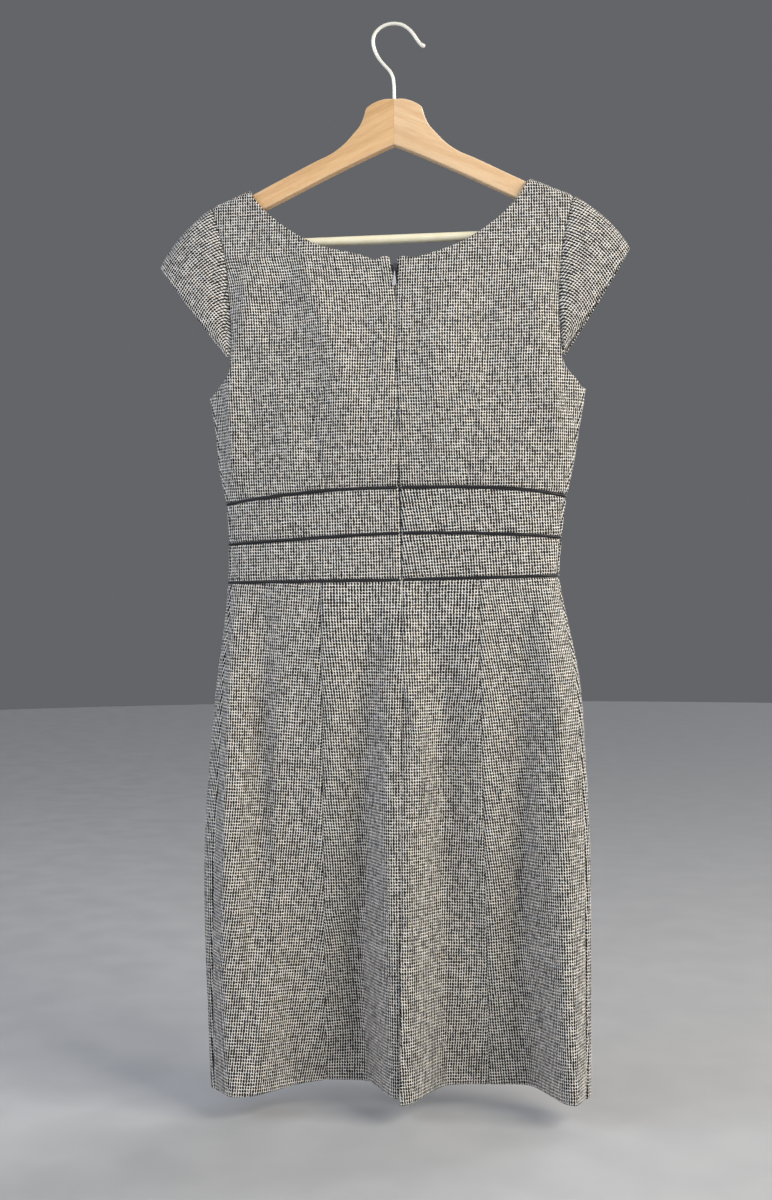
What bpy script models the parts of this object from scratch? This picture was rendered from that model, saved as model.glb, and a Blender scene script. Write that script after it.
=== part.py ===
"""Sheath dress of a small-check tweed, hung on a wooden hanger.

Lengths in this file are in millimetres, and MM turns them into Blender's metres when a mesh is
made. The origin is the inner top of the hanger's hook, +Z is up, -Y is the dress's back, and +X
is to the right of somebody who looks at that back.

All cloth lies on one skin, a stack of closed sections. A point on the skin has a ring coordinate
(0 centre back, 1 right side, 2 centre front, 3 or -1 left side) and a drop, the way down the cloth
from the shoulder ridge. Each panel is a patch between four seam lines on that skin.
"""

import math
from collections import namedtuple

import bmesh
import bpy
import numpy as np

MM = 0.001

# Cloth and trimming
CLOTH = 1.8                # tweed with its facing
SEAM_GAP = 0.3             # between two pieces sewn together
PIPING_HEIGHT = 3.6
PIPING_DEPTH = 2.6
PIPING_PROUD = 0.9         # how far the satin stands out of the tweed
PIPING_CLEAR = PIPING_HEIGHT / 2 + SEAM_GAP

# The dress
HEM_Z = -1121.0
CENTRE_FRONT_NECK_Z = -262.0
SHOULDER_ROUND = 8.0       # radius of the cloth where it lies over the hanger
NOTCH_BOTTOM_Z = -288.0    # foot of the small V above the zip
VENT_TOP_Z = -975.0
LAP_COLUMNS = 2            # the underlap is this many of the panel's columns wide
VENT_LAP = 34.0            # which is this width
VENT_LIFT = 2.6            # the lap stands this far off the underlap at the top of the vent
VENT_FLARE = 7.0           # and this much more at the hem
VENT_DROOP = 4.0           # the lap's corner hangs this much lower
ZIP_END_Z = -735.0
ZIP_TAPE_HALF = 9.5
ZIP_TAPE = 0.9
ZIP_GAP = 1.2              # between the tape and the cloth in front of it

# The hanger
HANGER_X = -2.5            # its centre line
HANGER_THICK = 12.0
HANGER_TILT = 0.021        # its left arm hangs a little higher
ARM_EDGE_ROUND = 4.0
WIRE_RADIUS = 1.7
HOOK_RADIUS = 24.0         # of the wire's centre line
BAR_RADIUS = 4.8
BAR_Z = -229.0
BAR_HALF = 194.0
RUN_CLEAR = 0.3            # round the hook's shank and the bar's ends, in the wood

# The skin's sections, from the shoulder to the hem. left and right are the outline's x, side_left
# and side_right the y of the two side edges, back and front the depths from there, and square
# says how flat the section is across (2 is an ellipse).
Section = namedtuple("Section", "z left right side_left side_right back front square")
SECTIONS = [
    Section(-1121, -201.0, 194.0, -36, -28, 20, 60, 3.4),
    Section(-1040, -204.5, 194.8, -33, -25, 22, 57, 3.3),
    Section(-940, -208.5, 195.6, -28, -21, 25, 52, 3.2),
    Section(-860, -208.7, 195.4, -23, -17, 28, 47, 3.1),
    Section(-775, -204.2, 191.9, -16, -12, 31, 41, 3.0),
    Section(-690, -197.0, 185.6, -9, -7, 33, 35, 3.0),
    Section(-632, -189.6, 174.3, -4, -4, 32, 31, 3.0),
    Section(-591, -185.9, 166.8, -2, -2, 28, 27, 3.0),
    Section(-548, -185.3, 169.2, -1, -1, 27, 27, 3.0),
    Section(-506, -187.6, 174.6, -1, -1, 28, 30, 3.0),
    Section(-467, -195.4, 183.0, -1, -1, 31, 37, 2.8),
    Section(-434, -198.2, 188.4, 0, 0, 33, 42, 2.7),
    Section(-393, -204.6, 195.4, 0, 0, 34, 43, 2.7),
    Section(-350, -209.0, 199.0, 0, 0, 31, 37, 2.9),
    Section(-300, -215.0, 203.0, 0, 0, 26, 29, 3.2),
    Section(-253, -222.0, 208.0, 0, 0, 20, 21, 4.0),
    Section(-205, -231.0, 214.5, 0, 0, 12, 12, 7.0),
    Section(-160, -232.0, 215.0, 0, 0, 10.5, 10.5, 8.0),
]

# Large folds. Each is a ridge (depth > 0, away from the wearer) or a valley, flat between x_from
# and x_to and falling off over the widths slope_left and slope_right. Two rows make one fold: its
# place at the top and at the bottom.
Fold = namedtuple("Fold", "face z x_from x_to slope_left slope_right depth")
FOLDS = {
    "skirt back, left valley": [
        Fold(-1, -592, -132, -50, 40, 34, 0),
        Fold(-1, -850, -112, -47, 62, 40, -27),
        Fold(-1, HEM_Z, -76, -46, 92, 44, -54),
    ],
    "skirt back, right valley": [
        Fold(-1, -592, 52, 118, 40, 40, 0),
        Fold(-1, -850, 50, 118, 42, 46, -25),
        Fold(-1, HEM_Z, 46, 122, 44, 58, -51),
    ],
    "skirt back, left ridge": [
        Fold(-1, -592, -172, -168, 14, 40, 0),
        Fold(-1, -850, -174, -168, 24, 50, 9),
        Fold(-1, HEM_Z, -172, -166, 26, 56, 17),
    ],
    "skirt back, right ridge": [
        Fold(-1, -592, 150, 154, 40, 14, 0),
        Fold(-1, -850, 164, 170, 44, 20, 8),
        Fold(-1, HEM_Z, 174, 180, 46, 12, 16),
    ],
    "bodice back, left ridge": [
        Fold(-1, -262, -82, -78, 34, 36, 1.5),
        Fold(-1, -360, -62, -56, 40, 34, 5),
        Fold(-1, -480, -50, -46, 34, 30, 0.5),
    ],
    "bodice back, right ridge": [
        Fold(-1, -262, 74, 80, 36, 34, 1.5),
        Fold(-1, -360, 56, 62, 34, 40, 5),
        Fold(-1, -480, 24, 30, 24, 34, 0.5),
    ],
    "skirt front, left valley": [
        Fold(1, -592, -110, -60, 45, 45, 0),
        Fold(1, HEM_Z, -105, -60, 60, 50, -12),
    ],
    "skirt front, right valley": [
        Fold(1, -592, 55, 100, 45, 45, 0),
        Fold(1, HEM_Z, 50, 105, 50, 60, -12),
    ],
    "bodice front, bust": [
        Fold(1, -300, -70, 62, 60, 60, 0),
        Fold(1, -395, -80, 72, 70, 70, 6),
        Fold(1, -500, -40, 36, 50, 50, 0),
    ],
}

# The piping rows. drop is how far the row falls from centre back (and front) to that side, and
# bend is the power of the curve it falls on.
Row = namedtuple("Row", "z drop_left bend_left drop_right bend_right")
PIPING_ROWS = {
    "top": Row(-494.4, 13.6, 2.0, 10.6, 3.5),
    "middle": Row(-541.8, 8.6, 1.1, 5.6, 2.6),
    "bottom": Row(-590.4, 0.6, 1.0, -3.2, 1.0),
}
PIPING_END = 2.8           # each row stops this far from the zip

# Seam lines, as (x, z), read downwards
CENTRE_BACK = [(-0.4, -288), (1.5, -404), (2.4, -456), (2.6, -495), (3.7, -542), (4.1, -590),
               (4.6, -652), (5.6, -703), (4.3, -750), (3.1, -815), (2.4, -917), (1.9, -978),
               (1.2, -1121)]
NOTCH_LEFT = [(-7.4, -253.4), (-5.0, -262), (-2.4, -274), (-0.4, -288)]
NOTCH_RIGHT = [(2.8, -253.4), (2.6, -262), (1.8, -274), (-0.4, -288)]
NECK_LEFT = [(-7.4, -253.4), (-38.3, -248.6), (-79.1, -237.2), (-120.5, -213.6), (-154.4, -179.4),
             (-158.8, -171.4)]
NECK_RIGHT = [(2.8, -253.4), (34.9, -250.2), (67.8, -238.4), (100.7, -218.0), (127.4, -192.4),
              (140.7, -172.4)]
ARMHOLE_LEFT = [(-199.9, -188.4), (-184.6, -244.7), (-179.5, -294.2), (-177.2, -334.3),
                (-177.6, -350.7)]
ARMHOLE_RIGHT = [(184.6, -192.2), (175.0, -233.8), (169.8, -280.0), (169.9, -325.0),
                 (171.9, -351.9)]
UNDERARM_LEFT = [(-177.6, -350.7), (-177.4, -366), (-181.5, -374), (-190.5, -381.6)]
UNDERARM_RIGHT = [(171.9, -351.9), (173.4, -366), (178.0, -375), (184.5, -381.6)]
UNDERARM_Z = -393.0
PRINCESS_LEFT = [(-82.1, -592), (-80.6, -715), (-82.0, -882), (-83.0, -1121)]
PRINCESS_RIGHT = [(83.9, -588), (84.9, -714), (87.1, -880), (88.8, -1121)]

# The side seams, as (ring coordinate, z): they lie a little to the back of the side edge
SIDE_SEAM_LEFT = [(-0.90, -393), (-0.90, -506), (-0.86, -591), (-0.78, -734), (-0.76, -832),
                  (-0.79, -937), (-0.88, -1121)]
SIDE_SEAM_RIGHT = [(0.90, -393), (0.92, -506), (0.94, -591), (0.91, -655), (0.87, -775),
                   (0.86, -900), (0.88, -1121)]

# Cap sleeves: the outer end of the ridge, and how the cap is shaped
Sleeve = namedtuple("Sleeve", "tip_x tip_z heel_x heel_z")
SLEEVES = {"left": Sleeve(-258.3, -249.4, -180.6, -353.0), "right": Sleeve(242.5, -247.9, 174.6, -354.2)}
SLEEVE_CROWN = 5.5         # rise of the ridge over a straight line
SLEEVE_PUFF = 3.0          # fullness of each side
SLEEVE_COLUMNS = 5

# How far apart the mesh's columns and rows stand, as ring coordinates and shares of a seam
BACK_CENTRE_RINGS = 5      # columns from centre back to the princess seam
SIDE_SHARES = [0.0, 0.17, 0.33, 0.47, 0.60, 0.72, 0.82, 0.91, 1.0]
FRONT_SHARES = [0.0, 0.07, 0.14, 0.21, 0.30, 0.42, 0.57, 0.72, 0.86, 1.0]
BACK_BODICE_SHARES = [0.0, 0.09, 0.18, 0.28, 0.385, 0.49, 0.60, 0.70, 0.79, 0.87, 0.94, 1.0]
BACK_NECK_SHARES = [0.0, 0.18, 0.36, 0.53, 0.69, 0.82, 0.915, 0.966, 1.0]      # fine at the shoulder
FRONT_NECK_SHARES = [0.0, 0.25, 0.50, 0.72, 0.89, 0.965, 1.0]
DART_COLUMN = 4            # the column of the bodice that runs along the dart
PIPING_RINGS = [0.0, 0.15, 0.3, 0.44, 0.57, 0.69, 0.79, 0.87, 0.94, 1.0,
                1.06, 1.13, 1.22, 1.34, 1.48, 1.64, 1.82, 2.0]
PIPING_SIDES = 8
SKIRT_ROWS = 18
BAND_ROWS = 3
SIDE_ROWS = 5              # side seam of the bodice
UNDERARM_ROWS = 4
SHOULDER_DROPS = [16.0, 11.0, 6.5, 2.5]    # the last rows below the shoulder seam
SHOULDER_EDGE_DROP = 0.2   # each shoulder edge stops this far from the ridge
ARMHOLE_ROWS = 7           # down from the lowest of them to the sleeve's heel

# Darts, as the ring column they run along, the height of the point, and the depth of the crease
DART_CREASE = 0.9
BODICE_DART_Z = -345.0

TWEED = (0.235, 0.205, 0.19)
SATIN = (0.012, 0.012, 0.014)
BEECH = (0.66, 0.40, 0.21)
STEEL = (0.62, 0.62, 0.60)
CREAM = (0.78, 0.72, 0.60)


# ---------------------------------------------------------------- curves

def smooth(at, knots, values):
    """The values at `at` on a smooth curve through (knots, values). The knots rise."""
    at, knots, values = (np.asarray(a, float) for a in (at, knots, values))
    slope = np.gradient(values, knots) if len(knots) > 2 else np.full(2, np.diff(values) / np.diff(knots))
    i = np.clip(np.searchsorted(knots, at) - 1, 0, len(knots) - 2)
    width = knots[i + 1] - knots[i]
    t = np.clip((at - knots[i]) / width, 0, 1)
    start, end = 2 * t**3 - 3 * t**2 + 1, 3 * t**2 - 2 * t**3
    bend = width * ((t**3 - 2 * t**2 + t) * slope[i] + (t**3 - t**2) * slope[i + 1])
    return start * values[i] + end * values[i + 1] + bend


def ease(t):
    t = np.clip(t, 0, 1)
    return t * t * (3 - 2 * t)


def shares_along(points):
    """How far each point lies along the run, from 0 to 1."""
    steps = np.linalg.norm(np.diff(points, axis=0), axis=1)
    far = np.concatenate([[0], np.cumsum(steps)])
    return far / far[-1]


def run(points, shares):
    """Points at the given shares of a smooth run through `points`."""
    points = np.asarray(points, float)
    far = shares_along(points)
    return np.stack([smooth(shares, far, points[:, k]) for k in range(points.shape[1])], 1)


def even(count):
    return np.linspace(0, 1, count + 1)


def x_on(line, z):
    """The x of a seam line at height z."""
    line = np.asarray(line, float)[::-1]
    return smooth(z, line[:, 1], line[:, 0])


# ---------------------------------------------------------------- the skin

def section_at(z):
    rows = np.array(SECTIONS, float)
    return Section(z, *(smooth(z, rows[:, 0], rows[:, k]) for k in range(1, rows.shape[1])))


def hanger_shift(x):
    """How much higher the tilted hanger lies at x."""
    return HANGER_TILT * (HANGER_X - x)


def ridge_z(across):
    """Height of the shoulder ridge, where across is -1 at the left and 1 at the right edge."""
    shoulder = SECTIONS[-1]
    x = (shoulder.left + shoulder.right) / 2 + (shoulder.right - shoulder.left) / 2 * across
    reach = np.sqrt((x - HANGER_X) ** 2 + 30.0**2)
    return -169.1 - 0.43 * (reach - 146.1) + hanger_shift(x)


def fall(drop):
    """How far below the ridge a drop reaches: round the shoulder first, then straight down."""
    quarter = SHOULDER_ROUND * math.pi / 2
    bent = np.clip(drop, 0, quarter) / SHOULDER_ROUND
    return SHOULDER_ROUND * (1 - np.cos(bent)) + np.maximum(drop - quarter, 0)


def drop_of(height):
    """The drop that reaches this far below the ridge."""
    inside = np.clip(height / SHOULDER_ROUND, 0, 1)
    return SHOULDER_ROUND * np.arccos(1 - inside) + np.maximum(height - SHOULDER_ROUND, 0)


def fold_depth(x, z, face):
    """How far the folds of this face (-1 back, 1 front) stand out at (x, z)."""
    total = np.zeros_like(x)
    for rows in FOLDS.values():
        if rows[0].face != face:
            continue
        table = np.array(rows, float)
        table = table[np.argsort(table[:, 1])]
        reach = [smooth(np.clip(z, table[0, 1], table[-1, 1]), table[:, 1], table[:, k]) for k in range(2, 7)]
        x_from, x_to, slope_left, slope_right, depth = reach
        inside = ease((x - x_from + slope_left) / slope_left) * ease((x_to + slope_right - x) / slope_right)
        total += depth * inside * ease((table[-1, 1] + 30 - z) / 30)
    return total


def skin(ring, drop):
    """Outer points of the cloth."""
    ring, drop = np.broadcast_arrays(np.asarray(ring, float), np.asarray(drop, float))
    angle = ring * math.pi / 2
    across = np.sin(angle)
    face = np.where(np.cos(angle) >= 0, -1.0, 1.0)
    z = ridge_z(across) - fall(drop)
    cut = section_at(z)
    x = (cut.left + cut.right) / 2 + (cut.right - cut.left) / 2 * across
    side = cut.side_left + (cut.side_right - cut.side_left) * (across + 1) / 2
    bulge = np.sqrt(np.maximum(0, 1 - np.abs(across) ** cut.square))
    over = np.sin(np.clip(drop / SHOULDER_ROUND, 0, math.pi / 2))
    depth = np.where(face < 0, cut.back, cut.front) * bulge * over
    folds = np.where(face < 0, fold_depth(x, z, -1), fold_depth(x, z, 1)) * np.minimum(1, 2.2 * bulge)
    return np.stack([x, side + face * (depth + folds), z], -1)


def outward(ring, drop):
    """Unit normals of the skin, away from the wearer."""
    step_r, step_d = 0.004, 0.5
    along = skin(ring + step_r, drop) - skin(ring - step_r, drop)
    down = skin(ring, drop + step_d) - skin(ring, np.maximum(drop - step_d, 0))
    normal = np.cross(down, along)
    return normal / np.linalg.norm(normal, axis=-1, keepdims=True)


def unroll(points, front=False):
    """(ring, drop) of points given as (x, z) on the back or the front."""
    points = np.asarray(points, float)
    x, z = points[:, 0], points[:, 1]
    cut = section_at(z)
    across = np.clip((x - (cut.left + cut.right) / 2) / ((cut.right - cut.left) / 2), -1, 1)
    ring = np.arcsin(across) * 2 / math.pi
    drop = drop_of(np.maximum(ridge_z(across) - z, 0))
    return np.stack([2 - ring if front else ring, drop], 1)


def at_heights(ring, z):
    """(ring, drop) of points given as ring coordinates and heights."""
    ring, z = np.broadcast_arrays(np.atleast_1d(ring).astype(float), np.atleast_1d(z).astype(float))
    return np.stack([ring, drop_of(ridge_z(np.sin(ring * math.pi / 2)) - z)], 1)


# ---------------------------------------------------------------- patches and walls

def patch(bottom, top, left, right):
    """A grid of (ring, drop) between four runs. Rows go up and columns go along the ring."""
    size = np.array([150.0, 1.0])
    u = (shares_along(bottom * size) + shares_along(top * size)) / 2
    t = (shares_along(left * size) + shares_along(right * size)) / 2
    u, t = u[None, :, None], t[:, None, None]
    corners = (1 - t) * ((1 - u) * bottom[0] + u * bottom[-1]) + t * ((1 - u) * top[0] + u * top[-1])
    return (1 - t) * bottom + t * top + (1 - u) * left[:, None] + u * right[:, None] - corners


def inset(grid, left=0.0, right=0.0, bottom=0.0, top=0.0):
    """The grid with its edges moved in by these lengths on the cloth."""
    grid = grid.copy()
    edges = ((np.s_[:, 0], 0, left), (np.s_[:, -1], 0, -right), (np.s_[0, :], 1, -bottom), (np.s_[-1, :], 1, top))
    for where, axis, length in edges:
        edge = grid[where]
        step = np.array([0.004, 0.0]) if axis == 0 else np.array([0.0, 0.5])
        ahead = skin(edge[:, 0] + step[0], edge[:, 1] + step[1])
        per_unit = np.linalg.norm(ahead - skin(edge[:, 0], edge[:, 1]), axis=1) / step[axis]
        grid[where][:, axis] += length / per_unit
    return grid


def solid_from(name, faces_of, material, smooth_shaded=True):
    """A mesh object filled by faces_of(bm)."""
    mesh = bpy.data.meshes.new(name)
    bm = bmesh.new()
    faces_of(bm)
    bm.to_mesh(mesh)
    bm.free()
    mesh.materials.append(material)
    if smooth_shaded:
        mesh.shade_smooth()
        mesh.set_sharp_from_angle(angle=math.radians(40))
    piece = bpy.data.objects.new(name, mesh)
    bpy.context.scene.collection.objects.link(piece)
    return piece


def wall(name, outer, normals, material, thickness=CLOTH):
    """A closed wall: the outer points, the same points moved in by the thickness, and a rim."""
    inner = outer - normals * thickness
    rows, columns = outer.shape[:2]

    def faces_of(bm):
        out = [[bm.verts.new(p * MM) for p in line] for line in outer]
        within = [[bm.verts.new(p * MM) for p in line] for line in inner]
        for r in range(rows - 1):
            for c in range(columns - 1):
                bm.faces.new((out[r][c], out[r][c + 1], out[r + 1][c + 1], out[r + 1][c]))
                bm.faces.new((within[r][c], within[r + 1][c], within[r + 1][c + 1], within[r][c + 1]))
        rim = [(0, c) for c in range(columns)] + [(r, columns - 1) for r in range(1, rows)]
        rim += [(rows - 1, c) for c in range(columns - 2, -1, -1)] + [(r, 0) for r in range(rows - 2, 0, -1)]
        for (r, c), (r2, c2) in zip(rim, rim[1:] + rim[:1]):
            bm.faces.new((out[r2][c2], out[r][c], within[r][c], within[r2][c2]))

    return solid_from(name, faces_of, material)


def panel(name, grid, material, thickness=CLOTH, lift=0.0):
    """A piece of cloth on the skin, moved out by `lift`."""
    normals = outward(grid[..., 0], grid[..., 1])
    lift = np.asarray(lift, float)
    return wall(name, skin(grid[..., 0], grid[..., 1]) + normals * lift[..., None], normals, material, thickness)


# ---------------------------------------------------------------- seam lines of the panels

def row_z(row, across):
    """Height of a piping row, where across is -1 at the left and 1 at the right edge."""
    left = row.drop_left * np.abs(across) ** row.bend_left
    right = row.drop_right * np.abs(across) ** row.bend_right
    return row.z - np.where(across < 0, left, right)


def row_run(row, rings):
    rings = np.asarray(rings, float)
    return at_heights(rings, row_z(row, np.sin(rings * math.pi / 2)))


def side_rings(side, z):
    line = np.array(SIDE_SEAM_LEFT if side == "left" else SIDE_SEAM_RIGHT)[::-1]
    return smooth(z, line[:, 1], line[:, 0])


def side_run(side, top_z, bottom_z, shares, front=False):
    """Points down a side seam. On the front piece the left seam is a whole turn further round."""
    z = top_z + (bottom_z - top_z) * np.asarray(shares)
    return at_heights(side_rings(side, z) + (4 if front and side == "left" else 0), z)


def row_at_side(row, side):
    """Height of a piping row at the side seam."""
    return float(row_z(row, -0.98 if side == "left" else 0.98))


def armhole_run(side, front):
    """Points down the armhole: shoulder tip, heel of the sleeve, underarm, top of the side seam."""
    armhole = ARMHOLE_LEFT if side == "left" else ARMHOLE_RIGHT
    underarm = UNDERARM_LEFT if side == "left" else UNDERARM_RIGHT
    tip, heel = np.array(armhole[0]), np.array(armhole[-1])
    length = np.linalg.norm(np.diff(np.array(armhole), axis=0), axis=1).sum()
    near = np.array(sorted(SHOULDER_DROPS)) / length
    shares = np.concatenate([[0], near, near[-1] + (1 - near[-1]) * even(ARMHOLE_ROWS)[1:]])
    upper = unroll(run(armhole, shares), front)
    seam = at_heights(side_rings(side, UNDERARM_Z), UNDERARM_Z)[0]
    if front:
        seam = seam + (4, 0) if side == "left" else seam
    below = np.concatenate([unroll(underarm, front), [seam]])
    if front:                                  # the front edge also passes the side's outermost line
        edge = at_heights(3.0 if side == "left" else 1.0, UNDERARM_Z + 0.5)
        below = np.concatenate([below[:-1], edge, [seam]])
    size = np.array([150.0, 1.0])
    lower = run(below * size, even(UNDERARM_ROWS)) / size
    return np.concatenate([upper, lower[1:]])


# ---------------------------------------------------------------- cloth pieces

def centre_back_shares():
    """Rows of the bodice at centre back: spaced as on the outer edge, with one at the notch's foot."""
    row = PIPING_ROWS["top"]
    spaced = []
    for side in ("left", "right"):
        seam = side_run(side, UNDERARM_Z, row_at_side(row, side), even(SIDE_ROWS))
        whole = np.concatenate([armhole_run(side, front=False), seam[1:]])
        spaced.append(shares_along(whole * np.array([150.0, 1.0])))
    shares = (spaced[0] + spaced[1]) / 2
    foot = (NOTCH_BOTTOM_Z - NECK_LEFT[0][1]) / (row.z - NECK_LEFT[0][1])
    shares[np.argmin(np.abs(shares - foot))] = foot
    return shares


def back_bodice(side, tweed):
    """Half of the back bodice, with its waist dart as a shallow crease."""
    sign = -1 if side == "left" else 1
    row = PIPING_ROWS["top"]
    neck = NECK_LEFT if side == "left" else NECK_RIGHT
    notch = NOTCH_LEFT if side == "left" else NOTCH_RIGHT
    tip = (ARMHOLE_LEFT if side == "left" else ARMHOLE_RIGHT)[0]
    foot_z = row_at_side(row, side)
    outer = np.concatenate([armhole_run(side, False),
                            side_run(side, UNDERARM_Z, foot_z, even(SIDE_ROWS))[1:]])
    z = neck[0][1] + (row.z - neck[0][1]) * centre_back_shares()
    inner = unroll(np.stack([np.where(z > NOTCH_BOTTOM_Z, x_on(notch, z), x_on(CENTRE_BACK, z)), z], 1))
    waist_ring = side_rings(side, foot_z)
    start = inner[-1, 0]
    bottom = row_run(row, start + (waist_ring - start) * np.array(BACK_BODICE_SHARES))
    bottom[0], bottom[-1] = inner[-1], outer[-1]
    collar = unroll(run(neck, BACK_NECK_SHARES))
    shoulder = unroll(run([neck[-1], tip], even(3)))
    shoulder[:, 1] = 0.0
    collar[-1] = shoulder[0]
    top = np.concatenate([collar, shoulder[1:]])
    top[0], top[-1] = inner[0], outer[0]
    grid = patch(bottom, top, inner[::-1], outer[::-1])
    if sign < 0:
        grid = grid[:, ::-1]
        grid = inset(grid, left=SEAM_GAP / 2, right=SEAM_GAP / 2, bottom=PIPING_CLEAR)
    else:
        grid = inset(grid, left=SEAM_GAP / 2, right=SEAM_GAP / 2, bottom=PIPING_CLEAR)
    grid[-1, :4 if sign < 0 else None, 1][-4:] = SHOULDER_EDGE_DROP
    column = len(BACK_BODICE_SHARES) - 1 - DART_COLUMN if sign < 0 else DART_COLUMN
    lift = np.zeros(grid.shape[:2])
    heights = skin(grid[:, column, 0], grid[:, column, 1])[:, 2]
    lift[:, column] = -DART_CREASE * ease((BODICE_DART_Z - heights) / 60)
    return panel(f"back_bodice_{side}", grid, tweed, lift=lift)


def front_bodice(tweed):
    """The whole front bodice, with two waist darts."""
    row = PIPING_ROWS["top"]
    sides = {}
    for side in ("right", "left"):
        seam = side_run(side, UNDERARM_Z, row_at_side(row, side), even(SIDE_ROWS), front=True)
        sides[side] = np.concatenate([armhole_run(side, True), seam[1:]])
    shares = np.array(FRONT_SHARES)
    first, last = sides["right"][-1, 0], sides["left"][-1, 0]
    rings = np.concatenate([first + (2 - first) * shares, last - (last - 2) * shares[::-1][1:]])
    bottom = row_run(row, rings)
    bottom[0], bottom[-1] = sides["right"][-1], sides["left"][-1]
    tops = {}
    for side, neck, armhole in (("right", NECK_RIGHT, ARMHOLE_RIGHT), ("left", NECK_LEFT, ARMHOLE_LEFT)):
        point, tip = neck[-1], armhole[0]
        low = [(x, z + (CENTRE_FRONT_NECK_Z - neck[0][1]) * ease((z - point[1]) / (neck[0][1] - point[1])))
               for x, z in neck[1:]]
        collar = unroll(run([(HANGER_X, CENTRE_FRONT_NECK_Z)] + low, FRONT_NECK_SHARES), front=True)
        shoulder = unroll(run([point, tip], even(3)), front=True)
        shoulder[:, 1] = 0.0
        collar[-1] = shoulder[0]
        tops[side] = np.concatenate([collar, shoulder[1:]])
    top = np.concatenate([tops["right"][::-1], tops["left"][1:]])
    top[0], top[-1] = sides["right"][0], sides["left"][0]
    grid = patch(bottom, top, sides["right"][::-1], sides["left"][::-1])
    grid = inset(grid, left=SEAM_GAP / 2, right=SEAM_GAP / 2, bottom=PIPING_CLEAR)
    grid[-1, :4, 1] = SHOULDER_EDGE_DROP
    grid[-1, -4:, 1] = SHOULDER_EDGE_DROP
    lift = np.zeros(grid.shape[:2])
    for column in (6, grid.shape[1] - 7):
        heights = skin(grid[:, column, 0], grid[:, column, 1])[:, 2]
        lift[:, column] = -DART_CREASE * ease((BODICE_DART_Z - 30 - heights) / 60)
    return panel("front_bodice", grid, tweed, lift=lift)


def ring_stations(part, start, end):
    """Ring coordinates of a row's columns: the back half from centre to side, or the whole front."""
    if part == "front":
        shares = np.array(FRONT_SHARES)
        return np.concatenate([start + (2 - start) * shares, end - (end - 2) * shares[::-1][1:]])
    return start + (end - start) * np.array(BACK_BODICE_SHARES)


def band(name, part, upper, lower, tweed):
    """A waist band between two piping rows: its left or right back piece, or its front piece."""
    middle_z = (upper.z + lower.z) / 2
    if part == "front":
        ends = [(side_rings("right", z), side_rings("left", z) + 4) for z in (lower.z, upper.z)]
    elif part == "left":
        ends = [(centre_back_ring(z), side_rings("left", z)) for z in (lower.z, upper.z)]
    else:
        ends = [(centre_back_ring(z), side_rings("right", z)) for z in (lower.z, upper.z)]
    bottom = row_run(lower, ring_stations(part, *ends[0]))
    top = row_run(upper, ring_stations(part, *ends[1]))
    if part == "left":
        bottom, top = bottom[::-1], top[::-1]
    left = bottom[0] + (top[0] - bottom[0]) * even(BAND_ROWS)[:, None]
    right = bottom[-1] + (top[-1] - bottom[-1]) * even(BAND_ROWS)[:, None]
    grid = inset(patch(bottom, top, left, right), SEAM_GAP / 2, SEAM_GAP / 2, PIPING_CLEAR, PIPING_CLEAR)
    return panel(name, grid, tweed)


def centre_back_ring(z):
    return float(unroll([(x_on(CENTRE_BACK, z), z)])[0, 0])


def piping(name, row, satin):
    """Flat satin piping all the way round, from one side of the zip to the other."""
    half = np.array(PIPING_RINGS)
    rings = np.concatenate([half, 4 - half[::-1][1:]])
    end_ring = PIPING_END / np.linalg.norm(skin(0.5, 330.0) - skin(0.0, 330.0)) * 0.5
    centre = centre_back_ring(row.z)
    rings[0], rings[-1] = centre + end_ring, 4 + centre - end_ring
    path = row_run(row, rings)
    points, normals = skin(path[:, 0], path[:, 1]), outward(path[:, 0], path[:, 1])
    points = points + normals * (PIPING_PROUD - PIPING_DEPTH / 2)
    along = np.gradient(points, axis=0)
    along /= np.linalg.norm(along, axis=1, keepdims=True)
    up = np.cross(normals, along)
    turns = [2 * math.pi * k / PIPING_SIDES for k in range(PIPING_SIDES)]

    def faces_of(bm):
        loops = []
        for point, normal, rise in zip(points, normals, up):
            ring_points = [point + rise * PIPING_HEIGHT / 2 * math.cos(a) + normal * PIPING_DEPTH / 2 * math.sin(a)
                           for a in turns]
            loops.append([bm.verts.new(p * MM) for p in ring_points])
        for first, second in zip(loops, loops[1:]):
            for k in range(PIPING_SIDES):
                n = (k + 1) % PIPING_SIDES
                bm.faces.new((first[k], second[k], second[n], first[n]))
        bm.faces.new(loops[0])
        bm.faces.new(loops[-1][::-1])
        bmesh.ops.recalc_face_normals(bm, faces=bm.faces)

    return solid_from(name, faces_of, satin)


def skirt_rows(top_z):
    return top_z + (HEM_Z - top_z) * even(SKIRT_ROWS)


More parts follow.
